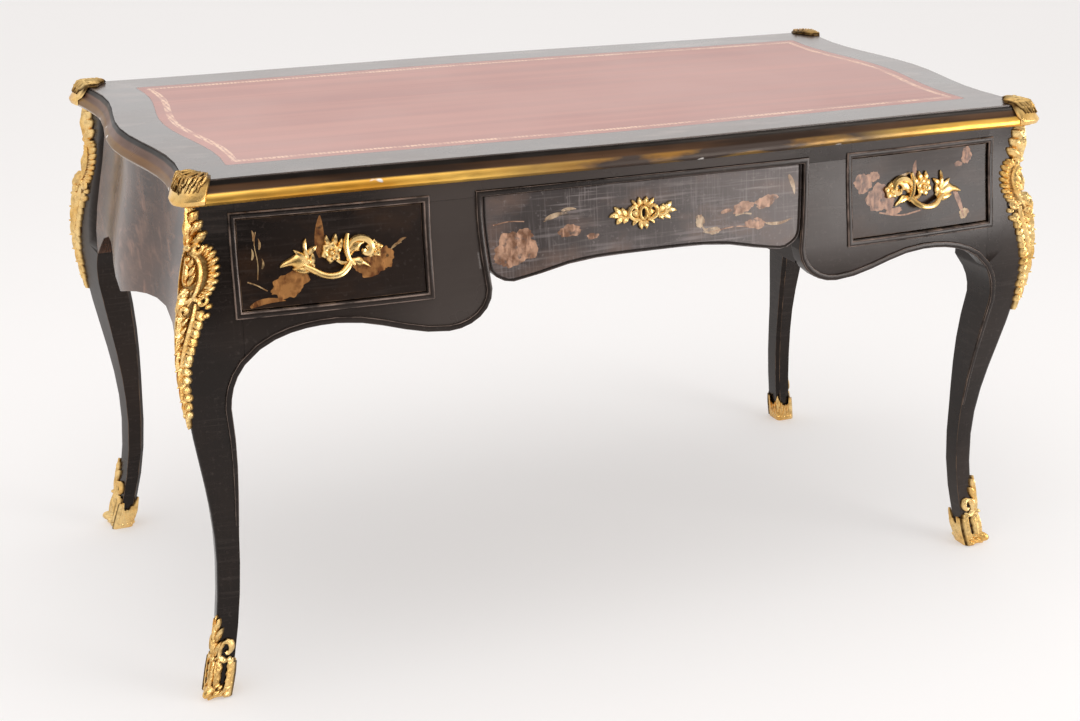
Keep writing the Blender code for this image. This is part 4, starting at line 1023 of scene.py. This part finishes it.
def build_spine(bm):
    """The thin plate that carries the ornament, and what stands on the corner itself."""
    def plate(s, t):
        down = s * PLATE_LENGTH
        return t * read_line(PLATE_LINE, down), down, 2.2 - 0.9 * t * t

    add_plate(bm, 48, 10, plate)
    add_leaf(bm, (0, 48), (0, 24), (0, -4), 9, 15, lobes=2, curl=3)
    add_boss(bm, 0, 50, 8, 10)
    for v, radius, height in ((66, 5.0, 7), (113, 8.5, 12), (142, 6.0, 13)):
        add_boss(bm, 0, v, radius, height)
    add_leaf(bm, (0, 102), (0, 86), (0, 66), 4.6, 8, lobes=2, vein=0.4)
    add_leaf(bm, (0, 104), (0, 120), (0, 144), 10, 14, lobes=2)
    husks = ((132, 170, 8.5, 13), (158, 194, 8, 13), (184, 218, 7.2, 13), (208, 242, 6.6, 12),
             (232, 264, 6.0, 10.5), (254, 286, 5.2, 9), (276, 304, 4.2, 7))
    for v0, v1, width, height in husks:
        add_leaf(bm, (0, v0), (0, (v0 + v1) / 2), (0, v1), width, height, lobes=1, vein=0.45, curl=1.5)
        add_boss(bm, 0, v1 - 5, width * 0.42, height)


def leg_seat(sx, sy):
    def seat(u, down, h):
        z = MOUNT_TOP - down
        x, y = round_corner(FRIEZE_PLAN, belly(z) + h, MOUNT_BEND, u)
        return sx * x, sy * y, z
    return seat


for name, (sx, sy) in QUARTERS.items():
    bm = new_casting()
    build_wing(bm)
    mirror_casting(bm)
    build_spine(bm)
    mount = bend_casting(f"cast_leg_mount_{name}", bm, leg_seat(sx, sy), "carcase", f"leg_mount_{name}")
print("leg mount faces", len(mount.data.polygons))

# %% [markdown]
# ## Sabots
# The shoes clasp the feet in open scrollwork: a tall leaf in tiers up the corner, a C-scroll and a
# long slit on each outer face through which the black leg shows, and a rolled toe. The two inner
# faces have a closed heel of leaves that rises to a point on the inner corner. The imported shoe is
# pressed down to the low cup that all of it grows from, and the castings are bent over the foot.

# %% Sabots, outer faces
SHOE_SKIN, FLOOR_GAP = 0.0006, 0.0005


def foot_seat(sx, sy):
    def seat(u, up_leg, h):
        z = max(up_leg, 0.0)
        x, y = round_corner(FRIEZE_PLAN, belly(z) + SHOE_SKIN + h, MOUNT_BEND, u)
        return sx * x, sy * y, max(z, FLOOR_GAP)
    return seat


def build_shoe(bm):
    """One face of the shoe; the second number runs up the leg."""
    add_leaf(bm, (3, 62), (7, 78), (12, 84), 5.0, 6, curl=1.5)
    add_leaf(bm, (2, 82), (6, 96), (11, 104), 4.8, 6, curl=1.5)
    add_leaf(bm, (1, 98), (4, 110), (6, 119), 4.2, 6, curl=1)
    rib_along(bm, [(11, 60), (12, 73), (18, 83), (25, 82), (28, 73), (24.5, 66), (21, 69)], 3.6, 6)
    rib_along(bm, [(6, 60), (11, 62), (16, 58), (22, 55), (27, 60)], 3.4, 6)
    rib_along(bm, [(26, 59), (28.5, 50), (29.5, 36), (28.5, 21), (24, 10), (12, 6)], 3.6, 6.5)
    rib_along(bm, [(31.5, 2), (31.5, 18), (31.8, 34), (31.5, 51)], 3.2, 3.6, thin=0.9)
    add_leaf(bm, (8, 59), (11, 38), (9, 8), 7.0, 6, lobes=3, vein=0.4)
    for up_leg in (16, 27, 38, 49):
        add_leaf(bm, (24.5, up_leg - 6), (28, up_leg), (30, up_leg + 9), 4.4, 5, **SMALL)
    for u, up_leg, radius in (
        (13, 9, 5.5), (21, 8, 5.0), (28, 6, 5.0), (29.5, 15, 4.0), (13, 20, 3.4), (12, 57, 3.2),
        (18, 17, 3.6),
    ):
        add_boss(bm, u, up_leg, radius, 6.5)
    mirror_casting(bm)
    add_leaf(bm, (0, 52), (0, 88), (0, 124), 6.5, 7, lobes=3)
    add_leaf(bm, (0, 60), (0, 36), (0, 12), 6.5, 7, vein=0.4)
    add_boss(bm, 0, 13, 10, 12)
    add_boss(bm, 0, 60, 5, 8)


print("outer faces planned, skin", SHOE_SKIN)

# %% Sabots, inner faces
FOOT_WIDTH, ANKLE_WIDTH = 0.030, 0.0335
HEEL_BEND = 0.009
HEEL_HALF = 31.5
HEEL_LINE = ((0, 58), (4, 48), (9, 39), (16, 33), (23, 35), (28, 43), (HEEL_HALF, 49))


def heel_seat(sx, sy):
    """The two inner faces, measured from the inner corner."""
    def seat(u, up_leg, h):
        z = max(up_leg, 0.0)
        cx, cy = corner(FRIEZE_PLAN, belly(z))
        width = mix(FOOT_WIDTH, ANKLE_WIDTH, z / ANKLE_HEIGHT) + SHOE_SKIN + h
        t = min(max((u / HEEL_BEND + 1) / 2, 0.0), 1.0)
        past = max(abs(u) - HEEL_BEND, 0.0)
        x = cx - width + t * t * HEEL_BEND + (past if u > 0 else 0.0)
        y = cy - width + (1 - t) ** 2 * HEEL_BEND + (past if u < 0 else 0.0)
        return sx * x, sy * y, max(z, FLOOR_GAP)
    return seat


def build_heel(bm):
    """Leaves on a plate whose rim has a point on the corner, a dip in each face, a rise at its end."""
    for base, bend, tip, width in (
        ((3, 10), (9, 22), (10, 42), 5.4),
        ((8, 8), (17, 16), (18, 36), 5.4),
        ((27, 5), (27.5, 26), (28, 51), 4.8),
        ((20, 8), (24, 18), (25, 38), 4.6),
    ):
        add_leaf(bm, base, bend, tip, width, 5.5, lobes=1, vein=0.2, curl=1, steps=8, across=6)
    rib_along(bm, [(30.5, 2), (30.6, 18), (30.8, 34), (30.5, 50)], 3.0, 4.6, thin=0.9)
    for u, up_leg, radius in ((7, 7, 5.2), (15, 7, 5.2), (23, 7, 5.2), (28, 8, 4.6), (16, 22, 3.6)):
        add_boss(bm, u, up_leg, radius, 5)
    mirror_casting(bm)

    def plate(s, t):
        u, up = (2 * s - 1) * HEEL_HALF, (t + 1) / 2
        return u, up * read_line(HEEL_LINE, abs(u)), 4.2 - 1.8 * up * up

    add_plate(bm, 32, 8, plate)
    add_leaf(bm, (0, 4), (0, 30), (0, 57), 6.5, 5.5, lobes=2)
    add_boss(bm, 0, 9, 5.5, 6)


print("heel planned, half width", HEEL_HALF)

# %% Sabots, cups
CUP_HEIGHT, TOE = 0.013, 0.004
CUP_RELIEF, HEEL_RELIEF = 0.30, 0.009


def press_cup(bm, sx, sy):
    """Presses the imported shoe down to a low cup, along the foot's own flare."""
    for v in bm.verts:
        z = v.co.z
        low = CUP_HEIGHT * (1 - math.exp(-z / CUP_HEIGHT))
        drift = belly(low) - belly(z)
        reach = corner(FRIEZE_PLAN, belly(low) + TOE)
        v.co.x = sx * min(abs(v.co.x) + drift, reach[0])
        v.co.y = sy * min(abs(v.co.y) + drift, reach[1])
        v.co.z = low


for name, (sx, sy) in QUARTERS.items():
    bm = new_casting()
    build_shoe(bm)
    bend_casting(f"cast_shoe_scrolls_{name}", bm, foot_seat(sx, sy), "carcase")
    bm = new_casting()
    build_heel(bm)
    bend_casting(f"cast_shoe_heel_{name}", bm, heel_seat(sx, sy), "carcase", full=HEEL_RELIEF)
    bm = merged_copy(f"sabot_{name}")
    press_cup(bm, sx, sy)
    relief = bm.verts.layers.float.new("relief")
    for v in bm.verts:
        v[relief] = CUP_RELIEF
    cup = add_piece(f"cast_shoe_{name}", bm, [BURNISHED_BRONZE], "carcase", "gilt_bronze", f"sabot_{name}")
    rounded = cup.modifiers.new("rounded", "SUBSURF")
    rounded.levels = rounded.render_levels = 2
print("shoes cast")

# %% [markdown]
# ## Corner caps
# A clasp sits on each corner of the top: ribbed foliage on the flat and over the cove, then a
# smooth bright nose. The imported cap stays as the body, with its arm along the front drawn in a
# little, and a fan of leaves is bent over it.

# %% Corner caps, seat
CAP_REACH = 0.046
CAP_LAP = 0.55
CAP_SKIN = 0.0031
CAP_BEND = 0.014
EDGE_PROJECTION, EDGE_ROUND, EDGE_QUIRK = 0.015, 0.0085, 0.0025
CAP_UNIT = 20 * MM
SHORT_FROM, SHORT_SHARE = 0.018, 0.74


def shorten(reach):
    """The arm of the cap along the front is shorter than the one along the end."""
    return reach if reach < SHORT_FROM else SHORT_FROM + (reach - SHORT_FROM) * SHORT_SHARE


def cap_seat(sx, sy):
    pivot = corner(TOP_PLAN, -CAP_REACH)
    down_round = TOP_THICK - EDGE_ROUND

    def seat(u, over, h):
        t = min(abs(u) / CAP_REACH, 1.0)
        lap = CAP_LAP * (1 - 0.6 * t * t)
        line = (
            (0, -CAP_SKIN, lap),
            (EDGE_QUIRK * 2, -CAP_SKIN + 0.0006, 0),
            (EDGE_PROJECTION, down_round - EDGE_ROUND - 0.0025, 0),
            (EDGE_PROJECTION + 0.005, down_round - EDGE_ROUND / 4, 0),
        )
        q = min(max(over / CAP_UNIT, 0.0), 2.999)
        k = int(q)
        out, down, inward = [mix(a, b, q - k) for a, b in zip(line[k], line[k + 1])]
        lean = min(q, 2.0) / 2
        out += h * 0.7 * lean
        down -= h * (1 - 0.45 * lean)
        along = min(u, CAP_REACH) if u > 0 else -shorten(min(-u, CAP_REACH))
        x, y = round_corner(TOP_PLAN, out, CAP_BEND + out, along)
        return sx * mix(x, pivot[0], inward), sy * mix(y, pivot[1], inward), TABLE_HEIGHT - down

    return seat


print("cap seat ready, reach", CAP_REACH)

# %% Corner caps, leaves and bodies
CAP_EDGE = 0.0006
CAP_RELIEF, NOSE_RELIEF, NOSE_DOWN = 0.018, 0.45, 0.014


def build_cap(bm):
    for k in range(1, 6):
        u = 8.4 * k
        lean = (-4, 3, -2, 4, -3)[k - 1]
        base, bend, tip = (u * 0.80, 2), (u * 0.92 + lean, 9), (u + lean, 17)
        add_leaf(bm, base, bend, tip, 3.0, 4.6, vein=0.8, curl=1, steps=8)
        base, bend, tip = (u + lean, 13), (u - lean, 20), (u - 2, 30)
        add_leaf(bm, base, bend, tip, 3.0, 5.0, vein=0.8, curl=1, steps=8)
        add_leaf(bm, (u - 4, 22), (u - 5 + lean, 29), (u - 4, 38), 2.8, 4.2, vein=0.7, steps=8)
        add_boss(bm, u + lean, 16, 1.9, 5.2)
        add_boss(bm, u - 2, 29, 1.7, 5.4)
        add_boss(bm, u - 5, 7, 1.6, 4.2)
    mirror_casting(bm)
    add_leaf(bm, (0, 1), (0, 18), (0, 40), 4.0, 5.0, lobes=3, vein=0.7)


for name, (sx, sy) in QUARTERS.items():
    bm = new_casting()
    build_cap(bm)
    bend_casting(f"cast_cap_leaves_{name}", bm, cap_seat(sx, sy), "carcase", full=CAP_RELIEF)
    bm = merged_copy(f"corner_mount_{name}")
    edge = corner(TOP_PLAN, 0)[0]
    relief = bm.verts.layers.float.new("relief")
    for v in bm.verts:
        # The cap's body under the leaves gets no relief, so the finish paints it dark there, patina with
        # painted shade; the nose keeps its gold.
        v[relief] = 0.0 if v.co.z > TABLE_HEIGHT - NOSE_DOWN else NOSE_RELIEF
        v.co.x = sx * (edge - shorten(edge - abs(v.co.x)))
    soften(bm, CAP_EDGE)
    add_piece(f"cast_cap_{name}", bm, [BURNISHED_BRONZE], "carcase", "gilt_bronze", f"corner_mount_{name}")
print("caps cast")

# %% [markdown]
# ## Pulls and key plate
# The side drawers open by fixed castings: a leaf tail, a bowed grip for the fingers, an open flower
# and a scroll with sprigs. The two are a mirrored pair. The key plate is a small cartouche with a
# leafy spray to each side, built round the keyhole, which stays open to the drawer front.


# %% Drawer seats
def drawer_seat(middle_x, middle_z, turn=1):
    def seat(u, w, h):
        x, z = middle_x + turn * u, middle_z + w
        return x, DRAWER_RECESS - frieze_front(x) - belly(z) - h, z
    return seat


print("key plate will sit at", drawer_seat(KEYHOLE_X, KEYHOLE_Z)(0, 0, 0))


# %% Pulls
def add_flower(bm, u, w, petals, reach, width, height):
    for k in range(petals):
        a = math.tau * k / petals + 0.3
        c, s = math.cos(a), math.sin(a)
        base, bend, tip = [(u + r * c, w + r * s) for r in (reach * 0.12, reach * 0.6, reach)]
        add_leaf(bm, base, bend, tip, width, height, vein=0.25, curl=1, steps=8)
    add_boss(bm, u, w, reach * 0.36, height * 1.35)


def build_pull(bm):
    add_leaf(bm, (-29, -12), (-48, 6), (-75, -7), 11, 8, lobes=2)
    add_leaf(bm, (-31, -13), (-45, -15), (-58, -11), 5.5, 6)
    add_leaf(bm, (-34, -4), (-46, 6), (-55, 14), 4.6, 6, **FINE)
    add_leaf(bm, (-35, 0), (-42, 14), (-37, 28), 5.4, 6.5, lobes=1, **FINE)
    add_leaf(bm, (-36, 6), (-30, 12), (-22, 17), 4.4, 6, **FINE)
    add_leaf(bm, (-31, -8), (-29, 0), (-29, 9), 4.2, 6, **FINE)
    add_boss(bm, -35, -3, 5.0, 7)
    grip = ((-42, -8, 3.6, 3), (-32, -13, 4.4, 7), (-20, -19.5, 4.3, 12), (-7, -22, 4.2, 14),
            (7, -20, 4.3, 13), (18, -13, 4.6, 8), (26, -5, 4.0, 3))
    add_rib(bm, grip, sides=10)
    add_flower(bm, -3, 7, 6, 15, 7.5, 8.5)
    add_leaf(bm, (-6, 14), (-9, 22), (-8, 30), 4.4, 7, **FINE)
    add_leaf(bm, (1, 15), (4, 23), (5, 31), 4.6, 7.5, **FINE)
    add_leaf(bm, (7, 10), (12, 16), (13, 24), 4.2, 7, **FINE)
    rib_along(bm, [(3, -4), (10, -8), (17, -9), (25, -9)], 3.2, 7)
    rib_along(bm, [(28, -12), (21, -4), (18, 7), (18, 19), (21, 31)], 4.2, 9)
    rib_along(bm, [(19, 10), (27, 20), (38, 23), (49, 19), (54, 10), (50, 2), (43, 3), (43, 8)], 5.2, 9)
    add_leaf(bm, (20, 0), (31, 16), (47, 17), 9.0, 6, lobes=2)
    add_leaf(bm, (22, -9), (36, -5), (51, -18), 7.0, 7, lobes=2)
    add_flower(bm, 58, 6, 5, 13, 6.0, 7)


for side, turn in (("left", 1), ("right", -1)):
    bm = new_casting()
    build_pull(bm)
    seat = drawer_seat(-turn * SIDE_DRAWER_X, SIDE_DRAWER_Z, turn)
    pull = bend_casting(
        f"cast_pull_{side}", bm, seat, f"drawer_{side}", f"drawer_{side}_pull", finish=BURNISHED_BRONZE
    )
print("pull faces", len(pull.data.polygons))


# %% Key plate
def build_key_plate(bm):
    add_leaf(bm, (6, 8), (13, 12), (18, 20), 5.4, 5.5, lobes=1)
    add_leaf(bm, (2, 10), (6, 17), (6, 23), 4.6, 6)
    add_leaf(bm, (6, -8), (13, -10), (18, -17), 5.4, 5.5, lobes=1)
    add_leaf(bm, (2, -10), (5, -17), (4, -24), 4.8, 6)
    rib_along(bm, [(6, -9), (14, -9), (22, -3), (22, 5), (16, 10), (10, 6)], 3.4, 6)
    add_leaf(bm, (5, 0), (11, 0), (19, 1), 6.5, 4.5, vein=0.5)
    rib_along(bm, [(20, -2), (28, -5), (36, -3), (42, 0)], 2.6, 5)
    for tip, bend in (
        ((47, 12), (41, 8)), ((55, -2), (46, 3)), ((44, -13), (40, -8)),
        ((34, 10), (33, 5)), ((32, -13), (31, -8)),
    ):
        add_leaf(bm, (bend[0] - 7, -3), bend, tip, 4.6, 5.5, **FINE)
    add_boss(bm, 38, -1, 4.0, 6)
    mirror_casting(bm)
    ring = [(5.4 * math.cos(a), 8.6 * math.sin(a)) for a in [math.tau * k / 14 for k in range(15)]]
    add_rib(bm, [(u, w, 2.4, 3.0) for u, w in ring], steps=2)


bm = new_casting()
build_key_plate(bm)
bend_casting("cast_key_plate", bm, drawer_seat(KEYHOLE_X, KEYHOLE_Z), "drawer_centre", "escutcheon")
print("key plate cast")

# %% [markdown]
# ## Bead on the centre drawer
# A thin bead follows the wavy lower edge of the centre drawer and goes up its ends. The edge is
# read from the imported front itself: the points where its face meets its ends and its underside,
# with those round the keyhole left out.

# %% Centre bead
BEAD_IN, BEAD_RADIUS, BEAD_RISE = 3.2, 1.7, 0.3


def lower_edge(node, above):
    """Points along the ends and the lower edge of a drawer front, from left to right."""
    bm = merged_copy(node)
    bm.normal_update()
    rim = set()
    for edge in bm.edges:
        front, side = sorted((f.normal for f in edge.link_faces), key=lambda n: n.y)
        if front.y < -0.6 and abs(side.y) < 0.5 and side.z < 0.5:
            rim.update(edge.verts)
    points = [v.co.copy() for v in rim if math.hypot(v.co.x - KEYHOLE_X, v.co.z - KEYHOLE_Z) > 0.03]
    bm.free()
    return sorted(points, key=lambda c: math.atan2(c.x, above - c.z))


edge_line = lower_edge("drawer_centre_front", UNDER_TOP)
bm = new_casting()
bead_path = []
for k, c in enumerate(edge_line):
    before, after = edge_line[max(k - 1, 0)], edge_line[min(k + 1, len(edge_line) - 1)]
    run = Vector((after.x - before.x, after.z - before.z)).normalized()
    u, w = c.x / MM - run.y * BEAD_IN, (c.z - KEYHOLE_Z) / MM + run.x * BEAD_IN
    bead_path.append((u, w, BEAD_RADIUS, BEAD_RISE))
add_rib(bm, bead_path, steps=2)
seat = drawer_seat(0, KEYHOLE_Z)
for v in bm.verts:
    v.co = seat(*v.co)
bmesh.ops.recalc_face_normals(bm, faces=bm.faces)
add_piece("drawer_centre_bead", bm, [BEAD_LACQUER], "drawer_centre", "black_lacquer")
print("centre bead points", len(bead_path))

# %% [markdown]
# ## Gold painting on the drawers
# Rocks, leaves and branches were painted on the drawers in raised gold lacquer, and most of it has
# worn thin to flecks. Each motif is a pad a fifth of a millimetre proud: a circle with a ragged
# rim, inset three times and domed, so that it keeps to the swelling front, or a thin leaf or branch.

# %% Painted motifs
PAINT_PROUD = 0.22
RAGS = ((2, 0.07), (3, 0.08), (5, 0.07), (9, 0.05), (14, 0.04))


def add_rock(bm, u, w, wide, tall, seed, tilt=0.0):
    made = bmesh.ops.create_circle(bm, cap_ends=True, segments=56, radius=1)
    face = made["verts"][0].link_faces[0]
    for v in made["verts"]:
        a = math.atan2(v.co.y, v.co.x)
        rag = 1 + sum(size * math.sin(lobes * a + lobes * seed) for lobes, size in RAGS)
        x, y = wide * rag * math.cos(a), tall * rag * math.sin(a)
        v.co = (
            (u + x * math.cos(tilt) - y * math.sin(tilt)) * MM,
            (w + x * math.sin(tilt) + y * math.cos(tilt)) * MM,
            0.02 * MM,
        )
    least = min(wide, tall) * MM
    for share, proud in ((0.16, 0.35), (0.22, 0.7), (0.3, 1.0)):
        bmesh.ops.inset_region(bm, faces=[face], thickness=least * share, use_even_offset=False)
        for v in face.verts:
            v.co.z = PAINT_PROUD * proud * MM
    bmesh.ops.poke(bm, faces=[face])


def add_branch(bm, points, radius):
    add_rib(bm, [(u, w, radius, 0.0) for u, w in points], sides=6, steps=3)


def flatten_branches(bm):
    for v in bm.verts:
        v.co.z = min(max(v.co.z, -0.1 * MM), PAINT_PROUD * MM)


def paint(name, bm, finish, seat, body):
    relief = bm.verts.layers.float["relief"]
    for v in bm.verts:
        v[relief] = max(v.co.z / (PAINT_PROUD * MM), 0.0)
        v.co = seat(*v.co)
    bmesh.ops.recalc_face_normals(bm, faces=bm.faces)
    add_piece(name, bm, [finish], body, "black_lacquer")


def paint_drawer(body, seat, coats):
    """Paints the rocks, leaves and branches of each coat on a drawer front."""
    for finish, rocks, leaves, branches in coats:
        bm = new_casting()
        for rock in rocks:
            add_rock(bm, *rock)
        for base, bend, tip, width in leaves:
            add_leaf(bm, base, bend, tip, width, PAINT_PROUD, vein=0.0, steps=12, across=4)
        for points, radius in branches:
            add_branch(bm, points, radius)
        flatten_branches(bm)
        paint(f"{finish}_{body}", bm, PAINTED[finish], seat, body)


print("painting tools ready")

# %% Painted drawers
paint_drawer("drawer_left", drawer_seat(-SIDE_DRAWER_X, SIDE_DRAWER_Z), (
    ("painted_brown", (
        (-62, -32, 24, 17, 0.4, 0.3), (-78, -36, 12, 6, 1.7, 0.5),
        (52, -18, 24, 13, 2.2, 0.1), (72, -8, 14, 15, 4.0, 0.2),
    ), (
        ((-17, 0), (-18, 30), (-15, 57), 7.0), ((-119, -58), (-98, -47), (-70, -53), 4.0),
    ), ()),
    ("painted_buff", (), (
        ((84, 3), (91, 10), (99, 10), 1.8), ((92, 8), (98, 15), (106, 16), 1.8),
        ((-108, 30), (-106, 38), (-109, 45), 1.6), ((-101, 18), (-98, 25), (-101, 33), 1.6),
        ((-112, 5), (-108, 12), (-111, 20), 1.6), ((-99, -8), (-95, -2), (-98, 6), 1.5),
    ), (
        (((80, 0), (90, 8), (104, 15)), 0.6),
        (((-106, -22), (-104, 0), (-107, 25), (-104, 42)), 0.6),
        (((-120, -24), (-108, -29), (-94, -38)), 0.9),
    )),
))
paint_drawer("drawer_right", drawer_seat(SIDE_DRAWER_X, SIDE_DRAWER_Z), (
    ("painted_rose", (
        (-77, -4, 25, 22, 1.1, 0.0), (-108, 22, 18, 14, 2.3, 0.2), (-88, 30, 9, 8, 0.6, 0.0),
        (90, 46, 10, 13, 3.0, 0.1), (74, 34, 8, 4, 5.0, 0.0), (-52, -26, 16, 5, 1.9, 0.1),
    ), (
        ((64, -4), (74, -20), (84, -50), 4.5), ((-10, 18), (-14, 34), (-9, 48), 4.0),
    ), (
        (((-80, -26), (-40, -34), (0, -30)), 1.4),
    )),
    ("painted_buff", ((84, -44, 9, 8, 0.3, 0.2),), (((-60, 14), (-40, 26), (-18, 30), 3.0),), ()),
))
paint_drawer("drawer_centre", drawer_seat(0, KEYHOLE_Z), (
    ("worn_rose", (
        (-214, -32, 31, 25, 0.8, 0.1), (-232, -44, 14, 9, 2.0, 0.3), (-200, -14, 14, 9, 3.1, 0.0),
        (-128, -15, 17, 9, 1.2, 0.1), (158, -9, 19, 8, 2.7, 0.15), (198, -4, 19, 9, 0.2, 0.2),
        (178, -35, 17, 8, 1.5, 0.0), (-92, -26, 10, 4, 2.4, 0.0),
    ), (
        ((120, -14), (132, -10), (141, -12), 3.0),
    ), (
        (((-246, 4), (-222, 7), (-198, 5)), 0.8), (((100, -40), (140, -36), (168, -38)), 1.0),
    )),
    ("worn_buff", (
        (84, -22, 7, 10, 0.5, 0.1), (104, -38, 15, 5, 1.8, 0.0),
    ), (
        ((238, 32), (247, 18), (248, 2), 3.6), ((-166, 4), (-150, 12), (-130, 10), 3.2),
        ((-140, 14), (-128, 18), (-116, 15), 2.2), ((196, -36), (220, -42), (242, -33), 2.4),
    ), (
        (((86, -24), (90, -34), (104, -38)), 1.6), (((-168, 2), (-150, 6), (-126, 14)), 0.7),
        (((144, -20), (158, -18), (172, -20)), 1.4),
    )),
))
